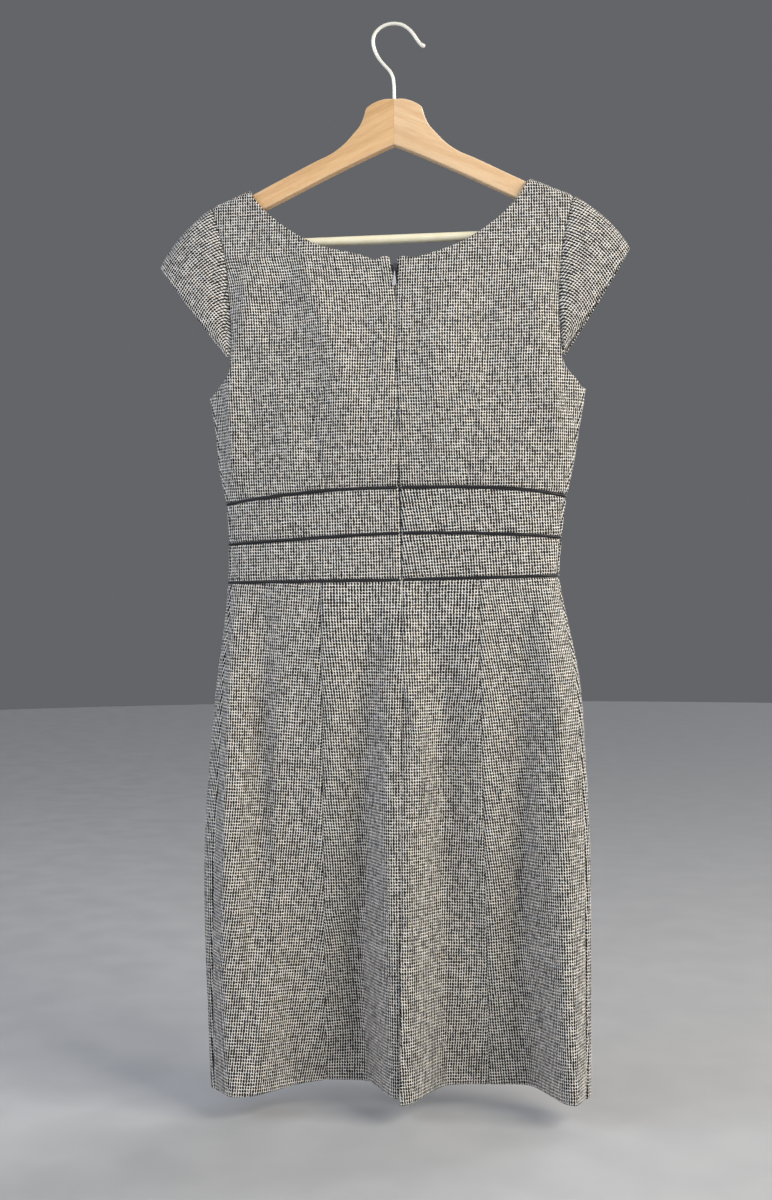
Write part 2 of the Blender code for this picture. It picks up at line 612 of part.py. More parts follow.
def skirt_panel(name, start_line, end_line, shares, tweed, lift_of=None):
    """A skirt panel between two lines, each a function from heights to ring coordinates."""
    row = PIPING_ROWS["bottom"]
    tops = [float(row_z(row, math.sin(line(np.array([row.z]))[0] * math.pi / 2))) for line in (start_line, end_line)]
    edges = []
    for line, top_z in zip((start_line, end_line), tops):
        z = skirt_rows(top_z)
        edges.append(at_heights(line(z), z)[::-1])
    left, right = edges
    bottom = at_heights(left[0, 0] + (right[0, 0] - left[0, 0]) * shares, HEM_Z)
    top = row_run(row, left[-1, 0] + (right[-1, 0] - left[-1, 0]) * shares)
    top[0], top[-1] = left[-1], right[-1]
    grid = inset(patch(bottom, top, left, right), SEAM_GAP / 2, SEAM_GAP / 2, top=PIPING_CLEAR)
    hung = grid.copy()
    lift = np.zeros(grid.shape[:2])
    if lift_of is not None:                    # the lap's corner also hangs a little lower
        lift = lift_of(skin(grid[..., 0], grid[..., 1]))
        hung[..., 1] += VENT_DROOP * np.clip((lift - VENT_LIFT) / VENT_FLARE, 0, 1)
    panel(name, hung, tweed, lift=lift)
    return grid


def line_ring(line):
    return lambda z: unroll(np.stack([x_on(line, z), z], 1))[:, 0]


def vent_lift(points):
    """How far the vent's lap stands off the skin."""
    x, z = points[..., 0], points[..., 2]
    below = np.clip((VENT_TOP_Z - z) / (VENT_TOP_Z - HEM_Z), 0, 1)
    near = 1 - ease((x - VENT_LAP - 4) / 38)
    flare = VENT_FLARE * below**2 * np.exp(-np.maximum(x, 0) / 26)
    return (VENT_LIFT * ease((VENT_TOP_Z + 30 - z) / 30) + flare) * near


def skirt_back(tweed):
    centre = line_ring(CENTRE_BACK)
    left, right = line_ring(PRINCESS_LEFT), line_ring(PRINCESS_RIGHT)
    centre_shares = even(BACK_CENTRE_RINGS)
    side_shares = np.array(SIDE_SHARES)
    skirt_panel("skirt_centre_back_left", left, centre, centre_shares, tweed)
    lap_grid = skirt_panel("skirt_centre_back_right", centre, right, centre_shares, tweed, lift_of=vent_lift)
    vent_underlap(lap_grid, tweed)
    skirt_panel("skirt_side_back_left", lambda z: side_rings("left", z), left, (1 - side_shares)[::-1], tweed)
    skirt_panel("skirt_side_back_right", right, lambda z: side_rings("right", z), side_shares, tweed)


def vent_underlap(lap_grid, tweed):
    """The layer of the left panel that passes under the lap, on the same columns and rows."""
    heights = skin(lap_grid[..., 0], lap_grid[..., 1])[:, 0, 2]
    rows = int(np.sum(heights < VENT_TOP_Z + VENT_DROOP))
    return panel("vent_underlap", lap_grid[:rows, :LAP_COLUMNS + 1], tweed)


def skirt_front(tweed):
    shares = np.array(FRONT_SHARES) / 2
    whole = np.concatenate([shares, 1 - shares[::-1][1:]])
    return skirt_panel("skirt_front", lambda z: side_rings("right", z), lambda z: side_rings("left", z) + 4,
                       whole, tweed)


def cap_sleeve(side, tweed):
    """A cap sleeve: one piece over the shoulder, open at its hem."""
    shape = SLEEVES[side]
    back = armhole_run(side, False)
    heel = len(SHOULDER_DROPS) + ARMHOLE_ROWS + 1
    seams, normals = [], []
    for front in (False, True):
        path = armhole_run(side, front)[:heel]
        path[0, 1] = 0.0
        seams.append(skin(path[:, 0], path[:, 1]))
        normals.append(outward(path[:, 0], path[:, 1]))
    shares = 1 - shares_along(back[:heel] * np.array([150.0, 1.0]))      # 1 at the ridge, 0 at the heel
    armhole = np.concatenate([seams[0][::-1], seams[1][1:]])
    seam_normals = np.concatenate([normals[0][::-1], normals[1][1:]])
    seam_normals[heel - 1] = (0, 0, 1)
    up = np.concatenate([shares[::-1], shares[1:]])
    face = np.concatenate([-np.ones(heel - 1), [0], np.ones(heel - 1)])
    hem = np.zeros_like(armhole)
    hem[:, 0] = shape.heel_x + (shape.tip_x - shape.heel_x) * up
    hem[:, 2] = shape.heel_z + (shape.tip_z - shape.heel_z) * up
    heel_depth = np.where(face < 0, -armhole[0, 1], armhole[-1, 1])
    hem[:, 1] = face * heel_depth * np.sqrt(1 - up**2)
    across = even(SLEEVE_COLUMNS)[:, None, None]
    grid = (1 - across) * armhole + across * hem
    swell = (4 * across * (1 - across))[..., 0]
    ridge = hem[heel - 1] - armhole[heel - 1]
    rise = np.array([-ridge[2], 0, ridge[0]]) / np.hypot(ridge[0], ridge[2])
    rise = rise if rise[2] > 0 else -rise
    grid += (SLEEVE_CROWN * swell * up**2)[..., None] * rise
    grid[..., 1] += face * SLEEVE_PUFF * swell * np.sin(np.pi * np.clip(up, 0, 1)) ** 0.5
    start = grid[1] - grid[0]
    grid[0] += start / np.linalg.norm(start, axis=1, keepdims=True) * SEAM_GAP
    if side == "right":
        grid, seam_normals = grid[:, ::-1], seam_normals[::-1]
    out = np.cross(np.gradient(grid, axis=1), np.gradient(grid, axis=0))
    out /= np.linalg.norm(out, axis=-1, keepdims=True)
    out[0] = seam_normals
    return wall(f"cap_sleeve_{side}", grid, out, tweed)


# ---------------------------------------------------------------- zip

def zip_tape(satin):
    """The woven tape behind the centre-back seam. It shows in the notch."""
    top_z = -259.0
    rows = top_z + (ZIP_END_Z - top_z) * np.concatenate([[1.0], np.linspace(0.94, 0.0, 17)])
    columns = np.array([-1.0, 0.0, 1.0])
    grid = np.zeros((len(rows), 3, 2))
    for r, z in enumerate(rows):
        middle = x_on(CENTRE_BACK, min(z, NOTCH_BOTTOM_Z)) - 1.0 * ease((z - NOTCH_BOTTOM_Z) / 30)
        grid[r] = unroll(np.stack([middle + ZIP_TAPE_HALF * columns, np.full(3, z)], 1))
    return panel("zip_tape", grid, satin, thickness=ZIP_TAPE, lift=np.full(grid.shape[:2], -CLOTH - ZIP_GAP))


def block(name, low, high, material, soften):
    """A box with softened edges."""
    def faces_of(bm):
        bmesh.ops.create_cube(bm, size=1.0)
        size, middle = (high - low) * MM, (high + low) / 2 * MM
        for vert in bm.verts:
            vert.co = [vert.co[k] * size[k] + middle[k] for k in range(3)]
        bmesh.ops.bevel(bm, geom=bm.edges[:], offset=soften * MM, segments=2, affect="EDGES", profile=0.5)

    return solid_from(name, faces_of, material)


PIVOT_Z = -264.5
PULL_LENGTH = 20.0
PULL_WIDTH = 4.0
PULL_THICK = 0.9
SLIDER_SIZE = np.array([4.6, 2.2, 8.0])
PIN_RADIUS = 0.6
EYE_HALF = 1.35            # half the height and depth of the pull tab's eye
EYE_CLEAR = 0.7            # from there to the slider's face, so that the eye can turn


def notch_frame():
    """Middle of the notch at the pull tab's pivot: the tape's face and the pivot's place."""
    x = (x_on(NOTCH_LEFT, PIVOT_Z) + x_on(NOTCH_RIGHT, PIVOT_Z)) / 2
    face = float(skin(*unroll([(x, PIVOT_Z)])[0])[1]) + CLOTH + ZIP_GAP
    pivot_y = face - SEAM_GAP - SLIDER_SIZE[1] - EYE_HALF - EYE_CLEAR
    return float(x), face, pivot_y


def zip_slider(steel):
    """The slider's body on the tape, with two ears and the pin that carries the pull tab."""
    x, face, pivot_y = notch_frame()
    high = np.array([x + SLIDER_SIZE[0] / 2, face - SEAM_GAP, PIVOT_Z + 5.0])
    low = high - SLIDER_SIZE
    body = block("zip_slider", low, high, steel, 0.5)
    pieces = [rod_mesh("slider_pin", (x - 2.0, pivot_y, PIVOT_Z), (x + 2.0, pivot_y, PIVOT_Z), PIN_RADIUS, steel, 12)]
    for side in (-1, 1):
        ear_low = np.array([x + side * 1.75 - 0.45, pivot_y - 1.1, PIVOT_Z - 1.2])
        ear_high = np.array([x + side * 1.75 + 0.45, low[1] + 0.5, PIVOT_Z + 1.2])
        pieces.append(block(f"slider_ear_{side}", ear_low, ear_high, steel, 0.25))
    for piece in pieces:
        piece.hide_render = True
        piece.display_type = "WIRE"
        join = body.modifiers.new(piece.name, "BOOLEAN")
        join.operation, join.object = "UNION", piece
    return body


def zip_pull(steel):
    """The pull tab: a plate with an eye round the pin, lying on the cloth below it."""
    x, face, pivot_y = notch_frame()
    end_z = PIVOT_Z - PULL_LENGTH
    end_y = float(skin(*unroll([(x, end_z)])[0])[1]) - SEAM_GAP - PULL_THICK
    lean = math.atan2(max(pivot_y - end_y, 0.0), PULL_LENGTH)
    hole = PIN_RADIUS + 0.25
    outline = [(-0.95, 1.0), (0.95, 1.0), (0.95, 0.4), (0.95, -2.2), (PULL_WIDTH / 2, -5.0),
               (PULL_WIDTH / 2, -PULL_LENGTH + 1.4), (1.1, -PULL_LENGTH), (-1.1, -PULL_LENGTH),
               (-PULL_WIDTH / 2, -PULL_LENGTH + 1.4), (-PULL_WIDTH / 2, -5.0), (-0.95, -2.2), (-0.95, 0.4)]

    def faces_of(bm):
        front = [bm.verts.new((px * MM, -PULL_THICK / 2 * MM, pz * MM)) for px, pz in outline]
        face_made = bm.faces.new(front)
        made = bmesh.ops.extrude_face_region(bm, geom=[face_made])
        bmesh.ops.translate(bm, vec=(0, PULL_THICK * MM, 0),
                            verts=[v for v in made["geom"] if isinstance(v, bmesh.types.BMVert)])
        bmesh.ops.recalc_face_normals(bm, faces=bm.faces)

    pull = solid_from("zip_pull", faces_of, steel)
    eye = block("pull_eye", np.array([-0.96, -EYE_HALF, -EYE_HALF]), np.array([0.96, EYE_HALF, EYE_HALF]), steel, 0.35)
    bore = block("pull_bore", np.array([-3.0, -hole, -hole]), np.array([3.0, hole, hole]), steel, 0.2)
    for helper, operation in ((eye, "UNION"), (bore, "DIFFERENCE")):
        helper.hide_render = True
        helper.display_type = "WIRE"
        cut = pull.modifiers.new(helper.name, "BOOLEAN")
        cut.operation, cut.object = operation, helper
    for piece in (pull, eye, bore):
        piece.location = (x * MM, pivot_y * MM, PIVOT_Z * MM)
        piece.rotation_euler = (-lean, 0, 0)
    return pull


# ---------------------------------------------------------------- hanger

# Half of the wood's outline, as (distance from the centre line, z), clockwise from the top
ARM_OUTLINE = [(11.5, -82.4), (28.5, -90.0), (31.0, -93.2), (32.0, -98.0), (34.0, -104.5), (42.6, -117.6),
               (53.0, -128.2), (67.0, -138.2), (83.0, -145.6), (132.0, -169.6), (158.0, -181.3), (183.0, -191.6),
               (192.0, -196.8), (198.5, -205.0), (202.5, -216.0), (203.5, -229.0), (200.0, -238.5), (192.0, -241.5),
               (184.5, -236.0), (177.0, -222.0), (167.0, -208.6), (136.0, -193.4), (18.0, -137.7), (6.0, -132.6)]


def wood_half(side, beech):
    """One half of the wooden hanger: it meets the other on the centre line."""
    sign = -1 if side == "left" else 1
    outline = [(SEAM_GAP / 2, -82.0)] + ARM_OUTLINE + [(SEAM_GAP / 2, -130.4)]

    def faces_of(bm):
        front = []
        for away, z in outline:
            x = HANGER_X + sign * away
            front.append(bm.verts.new((x * MM, -HANGER_THICK / 2 * MM, (z + hanger_shift(x)) * MM)))
        made = bmesh.ops.extrude_face_region(bm, geom=[bm.faces.new(front)])
        bmesh.ops.translate(bm, vec=(0, HANGER_THICK * MM, 0),
                            verts=[v for v in made["geom"] if isinstance(v, bmesh.types.BMVert)])
        bmesh.ops.recalc_face_normals(bm, faces=bm.faces)
        meeting = (HANGER_X + sign * SEAM_GAP / 2) * MM
        outer = [edge for edge in bm.edges
                 if abs(edge.verts[0].co.y - edge.verts[1].co.y) < 1e-6
                 and max(abs(v.co.x - meeting) for v in edge.verts) > 1e-5]
        bmesh.ops.bevel(bm, geom=outer, offset=ARM_EDGE_ROUND * MM, segments=3, affect="EDGES", profile=0.5)

    arm = solid_from(f"hanger_arm_{side}", faces_of, beech)
    holes = [((HANGER_X, 0, -70), (HANGER_X, 0, -104.3), WIRE_RADIUS + RUN_CLEAR),
             ((HANGER_X + sign * 150, 0, BAR_Z), (HANGER_X + sign * (BAR_HALF + 0.3), 0, BAR_Z), BAR_RADIUS + RUN_CLEAR)]
    for k, (start, end, radius) in enumerate(holes):
        drill = rod_mesh(f"drill_{side}_{k}", start, end, radius, beech)
        drill.hide_render = True
        drill.display_type = "WIRE"
        cut = arm.modifiers.new(drill.name, "BOOLEAN")
        cut.operation, cut.object = "DIFFERENCE", drill
    return arm


def rod_mesh(name, start, end, radius, material, sides=16):
    """A closed cylinder mesh between two points, as a cutter or a bar."""
    start, end = np.asarray(start, float), np.asarray(end, float)
    axis = (end - start) / np.linalg.norm(end - start)
    across = np.cross(axis, (0, 1, 0))
    across /= np.linalg.norm(across)
    third = np.cross(axis, across)

    def faces_of(bm):
        loops = []
        for place in (start, end):
            ring_points = [place + radius * (math.cos(a) * across + math.sin(a) * third)
                           for a in (2 * math.pi * k / sides for k in range(sides))]
            loops.append([bm.verts.new(p * MM) for p in ring_points])
        for k in range(sides):
            n = (k + 1) % sides
            bm.faces.new((loops[0][k], loops[0][n], loops[1][n], loops[1][k]))
        bm.faces.new(loops[0][::-1])
        bm.faces.new(loops[1])
        bmesh.ops.recalc_face_normals(bm, faces=bm.faces)

    return solid_from(name, faces_of, material)


def hook(steel):
    """The steel hook: shank, bend, and an arc that ends in a small ball."""
    centre_x, centre_z = HANGER_X + 0.9, WIRE_RADIUS - HOOK_RADIUS
    arc = [math.radians(a) for a in range(215, 5, -14)]
    path = [(HANGER_X, -104.0), (HANGER_X, -85.0), (HANGER_X - 0.3, -68.0), (HANGER_X - 1.2, -60.5),
            (HANGER_X - 3.6, -53.5), (HANGER_X - 8.0, -47.5), (HANGER_X - 14.5, -41.6)]
    path += [(centre_x + HOOK_RADIUS * math.cos(a), centre_z + HOOK_RADIUS * math.sin(a)) for a in arc]
    path += [(centre_x + 25.0, -23.6), (centre_x + 28.4, -26.4), (centre_x + 30.6, -27.6)]
    smooth_path = run(path, even(44))
    curve = bpy.data.curves.new("hanger_hook", "CURVE")
    curve.dimensions = "3D"
    line = curve.splines.new("POLY")
    line.points.add(len(smooth_path) - 1)
    for index, (point, (x, z)) in enumerate(zip(line.points, smooth_path)):
        point.co = (x * MM, 0, z * MM, 1)
        point.radius = 1.35 if index == len(smooth_path) - 1 else 1.0
    curve.bevel_depth = WIRE_RADIUS * MM
    curve.bevel_resolution = 2
    curve.use_fill_caps = True
    curve.materials.append(steel)
    piece = bpy.data.objects.new("hanger_hook", curve)
    bpy.context.scene.collection.objects.link(piece)
    return piece


def hanger(beech, steel, cream):
    wood_half("left", beech)
    wood_half("right", beech)
    hook(steel)
    rod_mesh("hanger_bar", (HANGER_X - BAR_HALF, 0, BAR_Z), (HANGER_X + BAR_HALF, 0, BAR_Z), BAR_RADIUS, cream)


# ---------------------------------------------------------------- the whole

def finish(name, colour, roughness, metallic=0.0):
    material = bpy.data.materials.new(name)
    material.use_nodes = True
    shader = material.node_tree.nodes["Principled BSDF"]
    shader.inputs["Base Color"].default_value = (*colour, 1)
    shader.inputs["Roughness"].default_value = roughness
    shader.inputs["Metallic"].default_value = metallic
    material.diffuse_color = (*colour, 1)
    return material


def main():
    for leftover in list(bpy.data.objects):
        bpy.data.objects.remove(leftover)
    tweed = finish("tweed", TWEED, 0.95)
    satin = finish("satin", SATIN, 0.4)
    beech = finish("beech", BEECH, 0.45)
    steel = finish("steel", STEEL, 0.3, metallic=1.0)
    cream = finish("cream", CREAM, 0.4)

    for side in ("left", "right"):
        back_bodice(side, tweed)
        cap_sleeve(side, tweed)
    front_bodice(tweed)
    levels = [("upper_band", "top", "middle"), ("lower_band", "middle", "bottom")]
    for level, above, below in levels:
        for part in ("left", "right", "front"):
            name = f"{level}_front" if part == "front" else f"{level}_back_{part}"
            band(name, part, PIPING_ROWS[above], PIPING_ROWS[below], tweed)
    for name, row in PIPING_ROWS.items():
        piping(f"piping_{name}", row, satin)
    skirt_back(tweed)
    skirt_front(tweed)
    zip_tape(satin)
    zip_slider(steel)
    zip_pull(steel)
    hanger(beech, steel, cream)


main()
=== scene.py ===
# %% [markdown]
# # A sheath dress in check tweed, hung on a wooden hanger
#
# The dress is seen from its back. It hangs from the shoulders, so its skirt falls in a few long
# soft folds, and its waist is drawn in by two bands between three rows of black satin piping. The
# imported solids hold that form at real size. This script gives each piece its finish: cloth with
# small creases, seams that sink in, a woven check, satin, varnished beech and polished steel.
#
# Lengths are in millimetres, and MM turns them into metres when a mesh is made.

# %% The frame
import math
from collections import namedtuple

import bmesh
import bpy
import numpy as np
from mathutils import Matrix, Vector


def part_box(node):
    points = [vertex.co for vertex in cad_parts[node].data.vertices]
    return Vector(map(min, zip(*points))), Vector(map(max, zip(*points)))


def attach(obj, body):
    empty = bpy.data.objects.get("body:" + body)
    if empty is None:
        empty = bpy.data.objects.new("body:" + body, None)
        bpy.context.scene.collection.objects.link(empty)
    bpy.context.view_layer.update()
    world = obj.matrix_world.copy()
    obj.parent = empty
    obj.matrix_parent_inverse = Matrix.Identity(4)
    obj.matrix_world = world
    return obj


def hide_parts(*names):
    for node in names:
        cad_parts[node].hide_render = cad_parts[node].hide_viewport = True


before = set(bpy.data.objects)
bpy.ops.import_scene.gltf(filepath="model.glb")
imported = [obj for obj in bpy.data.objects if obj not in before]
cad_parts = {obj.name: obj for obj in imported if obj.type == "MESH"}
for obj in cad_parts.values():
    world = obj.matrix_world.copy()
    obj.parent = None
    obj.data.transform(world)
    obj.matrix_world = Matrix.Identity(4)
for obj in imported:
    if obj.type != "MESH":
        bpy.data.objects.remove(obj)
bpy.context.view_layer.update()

MM = 0.001
CELL = 3.4       # side of the cloth's mesh cells

# %% [markdown]
# ## The skin of the dress
#
# A dressmaker thinks of a dress as a tube round the body. Here that tube is a stack of closed
# sections. A point on it has a ring coordinate, which is 0 at centre back, 1 at the right side,
# 2 at centre front and 3 or -1 at the left side, and a drop, the way down the cloth from the
# shoulder ridge. The tables repeat those of the solids, so the cloth lies where the solids are.

# %% Sections of the skin
HEM_Z = -1121.0
CENTRE_FRONT_NECK_Z = -262.0
SHOULDER_ROUND = 8.0
NOTCH_BOTTOM_Z = -288.0
HANGER_X = -2.5
HANGER_TILT = 0.021

Section = namedtuple("Section", "z left right side_left side_right back front square")
SECTIONS = [
    Section(-1121, -201.0, 194.0, -36, -28, 20, 60, 3.4),
    Section(-1040, -204.5, 194.8, -33, -25, 22, 57, 3.3),
    Section(-940, -208.5, 195.6, -28, -21, 25, 52, 3.2),
    Section(-860, -208.7, 195.4, -23, -17, 28, 47, 3.1),
    Section(-775, -204.2, 191.9, -16, -12, 31, 41, 3.0),
    Section(-690, -197.0, 185.6, -9, -7, 33, 35, 3.0),
    Section(-632, -189.6, 174.3, -4, -4, 32, 31, 3.0),
    Section(-591, -185.9, 166.8, -2, -2, 28, 27, 3.0),
    Section(-548, -185.3, 169.2, -1, -1, 27, 27, 3.0),
    Section(-506, -187.6, 174.6, -1, -1, 28, 30, 3.0),
    Section(-467, -195.4, 183.0, -1, -1, 31, 37, 2.8),
    Section(-434, -198.2, 188.4, 0, 0, 33, 42, 2.7),
    Section(-393, -204.6, 195.4, 0, 0, 34, 43, 2.7),
    Section(-350, -209.0, 199.0, 0, 0, 31, 37, 2.9),
    Section(-300, -215.0, 203.0, 0, 0, 26, 29, 3.2),
    Section(-253, -222.0, 208.0, 0, 0, 20, 21, 4.0),
    Section(-205, -231.0, 214.5, 0, 0, 12, 12, 7.0),
    Section(-160, -232.0, 215.0, 0, 0, 10.5, 10.5, 8.0),
]
print(len(SECTIONS), "sections from", SECTIONS[0].z, "to", SECTIONS[-1].z)

# %% [markdown]
# ## Folds and creases
#
# The large folds come from how the skirt hangs and are in the solids too. Each is flat between two
# x places and falls off over its slopes. The small creases lie where the cloth pulls at a dart, a
# band or an armhole. Each follows a short line, with its own width on either side and its own
# depth, and fades out at both ends. The front has similar ones, since a dress creases all round.

# %% Large folds
BACK, FRONT = -1, 1
FOLDS = {                               # z, x from, x to, left slope, right slope, depth
    BACK: {
        "skirt, left valley": [(-592, -132, -50, 40, 34, 0), (-850, -112, -47, 62, 40, -27),
                               (HEM_Z, -76, -46, 92, 44, -54)],
        "skirt, right valley": [(-592, 52, 118, 40, 40, 0), (-850, 50, 118, 42, 46, -25),
                                (HEM_Z, 46, 122, 44, 58, -51)],
        "skirt, left ridge": [(-592, -172, -168, 14, 40, 0), (-850, -174, -168, 24, 50, 9),
                              (HEM_Z, -172, -166, 26, 56, 17)],
        "skirt, right ridge": [(-592, 150, 154, 40, 14, 0), (-850, 164, 170, 44, 20, 8),
                               (HEM_Z, 174, 180, 46, 12, 16)],
        "bodice, left ridge": [(-262, -82, -78, 34, 36, 1.5), (-360, -62, -56, 40, 34, 5),
                               (-480, -50, -46, 34, 30, 0.5)],
        "bodice, right ridge": [(-262, 74, 80, 36, 34, 1.5), (-360, 56, 62, 34, 40, 5),
                                (-480, 24, 30, 24, 34, 0.5)],
    },
    FRONT: {
        "skirt, left valley": [(-592, -110, -60, 45, 45, 0), (HEM_Z, -105, -60, 60, 50, -12)],
        "skirt, right valley": [(-592, 55, 100, 45, 45, 0), (HEM_Z, 50, 105, 50, 60, -12)],
        "bodice, bust": [(-300, -70, 62, 60, 60, 0), (-395, -80, 72, 70, 70, 6),
                         (-500, -40, 36, 50, 50, 0)],
    },
}

# %% Small creases
Crease = namedtuple("Crease", "x_from z_from x_to z_to left right depth")
CREASES = {
    BACK: [
        # bodice back: what the darts and the hanger pull
        (-101, -245, -63, -360, 16, 12, 5.0), (-67, -345, -51, -460, 13, 20, 2.5),
        (-84, -246, -82, -310, 5, 5, -0.9), (-15, -290, -18, -470, 11, 9, 2.5),
        (-55, -280, -46, -400, 9, 9, 1.0), (80, -265, 61, -420, 14, 20, -4.0),
        (63, -385, 24, -475, 12, 15, -3.5), (93, -270, 97, -430, 15, 12, -4.5),
        (118, -325, 167, -445, 11, 11, 2.0), (136, -320, 176, -420, 8, 8, 1.1),
        (141, -260, 155, -385, 11, 11, 4.0), (41, -275, 31, -400, 9, 10, 1.3),
        (117, -320, 118, -485, 14, 10, -2.5), (32, -400, 9, -488, 12, 10, -4.0),
        (8, -475, 34, -440, 5, 5, 0.9), (12, -486, 40, -462, 5, 5, -1.5),
        (-156, -250, -168, -350, 9, 16, 6.0), (161, -240, 157, -335, 10, 9, 2.0),
        (-118, -240, -129, -340, 13, 13, -2.0), (-180, -340, -176, -490, 6, 15, 9.0),
        (163, -370, 168, -465, 9, 7, 4.0), (-151, -290, -138, -395, 9, 10, 1.3),
        (-122, -389, -108, -478, 8, 9, 2.5), (92, -410, 85, -483, 8, 9, -1.3),
        (56, -298, 52, -363, 8, 8, -1.5), (-121, -390, -108, -478, 9, 9, 0.8),
        (-30, -350, -24, -440, 9, 9, -0.6),
        # bands
        (-150, -512, -120, -570, 9, 9, 1.1), (-60, -500, -48, -580, 10, 10, 1.3),
        (40, -500, 52, -585, 10, 12, -1.3), (120, -505, 132, -580, 9, 9, 1.3),
        (-20, -545, -14, -588, 6, 6, -1.0), (25, -580, 23, -715, 10, 15, -5.0),
        (-147, -585, -160, -805, 12, 15, -4.0), (152, -580, 167, -795, 14, 16, 7.0),
        # skirt back: the soft ridges and troughs between the large folds
        (-175, -605, -187, -1030, 9, 7, 6.0), (-141, -610, -141, -1015, 13, 10, -7.0),
        (-150, -700, -158, -1130, 11, 10, -10.5), (-136, -660, -119, -1100, 25, 22, 6.5),
        (-130, -660, -126, -1100, 9, 30, 3.5), (-107, -625, -100, -950, 19, 15, 3.5),
        (-108, -890, -100, -1125, 11, 14, 4.5), (-79, -935, -88, -1120, 11, 12, 7.0),
        (-71, -595, -80, -990, 19, 22, 6.5), (-26, -605, -36, -980, 14, 15, -9.0),
        (-28, -705, -34, -1120, 8, 24, 3.0), (3, -702, 14, -757, 7, 5, -3.5),
        (19, -735, 31, -840, 8, 8, 4.0), (38, -605, 46, -985, 12, 18, -5.5),
        (24, -760, 28, -1120, 15, 11, -2.0), (69, -640, 72, -900, 6, 9, 1.2),
        (84, -625, 94, -1065, 12, 16, 6.0), (134, -650, 122, -1015, 10, 12, -7.0),
        (150, -645, 158, -1005, 10, 14, -6.0), (141, -900, 147, -1090, 11, 10, -2.0),
        (-172, -955, -167, -1130, 11, 10, -5.0), (-124, -960, -120, -1115, 9, 10, -1.5),
        (-52, -935, -49, -1115, 12, 14, -6.5), (59, -960, 61, -1120, 14, 11, 3.0),
        (101, -960, 105, -1115, 8, 10, -0.9), (-172, -960, -168, -1120, 12, 9, -1.0),
        (173, -960, 178, -1115, 12, 9, 0.7), (100, -960, 104, -1115, 10, 9, 0.6),
    ],
    FRONT: [
        # front: the same kinds, where the bust and the waist pull
        (-92, -300, -72, -420, 16, 16, 1.6), (86, -296, 64, -410, 15, 17, 1.7),
        (-20, -300, -26, -470, 15, 14, -1.3), (26, -330, 34, -480, 12, 13, -1.1),
        (-140, -330, -172, -430, 10, 10, 1.4), (130, -340, 164, -440, 9, 10, 1.3),
        (-60, -440, -44, -488, 7, 7, -1.0), (50, -436, 38, -486, 7, 7, -0.9),
        (-110, -505, -98, -580, 9, 10, 0.7), (70, -500, 84, -584, 10, 9, -0.7),
        (-140, -610, -146, -860, 16, 15, 2.4), (-84, -600, -80, -1000, 14, 15, -2.4),
        (-44, -620, -30, -900, 14, 13, 2.2), (-4, -640, 4, -1020, 12, 14, -1.7),
        (38, -606, 44, -880, 14, 13, 2.0), (82, -610, 78, -1040, 15, 14, -2.5),
        (128, -600, 138, -850, 13, 15, 2.3), (-118, -880, -124, -1110, 13, 13, 1.6),
        (20, -900, 14, -1112, 13, 12, 1.8), (112, -900, 120, -1112, 13, 13, -1.6),
    ],
}
CREASE_STRENGTH = {BACK: 1.0, FRONT: 1.8}   # the front's are written smaller than they are
for name, rows in (("folds", FOLDS), ("creases", CREASES)):
    print(name, "on the back", len(rows[BACK]), "and on the front", len(rows[FRONT]))


# %% Curves and the skin
def smooth(at, knots, values):
    """The values at `at` on a smooth curve through (knots, values). The knots rise."""
    at, knots, values = (np.asarray(a, float) for a in (at, knots, values))
    slope = np.gradient(values, knots) if len(knots) > 2 else np.full(2, np.diff(values) / np.diff(knots))
    i = np.clip(np.searchsorted(knots, at) - 1, 0, len(knots) - 2)
    width = knots[i + 1] - knots[i]
    t = np.clip((at - knots[i]) / width, 0, 1)
    start, end = 2 * t**3 - 3 * t**2 + 1, 3 * t**2 - 2 * t**3
    bend = width * ((t**3 - 2 * t**2 + t) * slope[i] + (t**3 - t**2) * slope[i + 1])
    return start * values[i] + end * values[i + 1] + bend


def ease(t):
    t = np.clip(t, 0, 1)
    return t * t * (3 - 2 * t)


def unit(vectors):
    return vectors / np.linalg.norm(vectors, axis=-1, keepdims=True)


def lengths_along(points, axis=0):
    """The length from the first point to each, along one axis of a grid."""
    steps = np.linalg.norm(np.diff(points, axis=axis), axis=-1)
    return np.concatenate([0 * np.take(steps, [0], axis), np.cumsum(steps, axis)], axis)


def shares_along(points):
    """How far each point lies along the run, from 0 to 1."""
    far = lengths_along(points)
    return far / far[-1]


def run(points, shares):
    """Points at the given shares of a smooth run through `points`."""
    points = np.asarray(points, float)
    far = shares_along(points)
    return np.stack([smooth(shares, far, points[:, k]) for k in range(points.shape[1])], 1)


def x_on(line, z):
    """The x of a seam line at height z."""
    line = np.asarray(line, float)[::-1]
    return smooth(z, line[:, 1], line[:, 0])


def section_at(z):
    rows = np.array(SECTIONS, float)
    return Section(z, *(smooth(z, rows[:, 0], rows[:, k]) for k in range(1, rows.shape[1])))


def hanger_shift(x):
    """How much higher the tilted hanger lies at x."""
    return HANGER_TILT * (HANGER_X - x)


def ridge_z(across):
    """Height of the shoulder ridge, where across is -1 at the left and 1 at the right edge."""
    shoulder = SECTIONS[-1]
    x = (shoulder.left + shoulder.right) / 2 + (shoulder.right - shoulder.left) / 2 * across
    reach = np.sqrt((x - HANGER_X) ** 2 + 30.0**2)
    return -169.1 - 0.43 * (reach - 146.1) + hanger_shift(x)


QUARTER = SHOULDER_ROUND * math.pi / 2


def fall(drop):
    """How far below the ridge a drop reaches: round the shoulder first, then straight down."""
    bent = np.clip(drop, 0, QUARTER) / SHOULDER_ROUND
    return SHOULDER_ROUND * (1 - np.cos(bent)) + np.maximum(drop - QUARTER, 0)


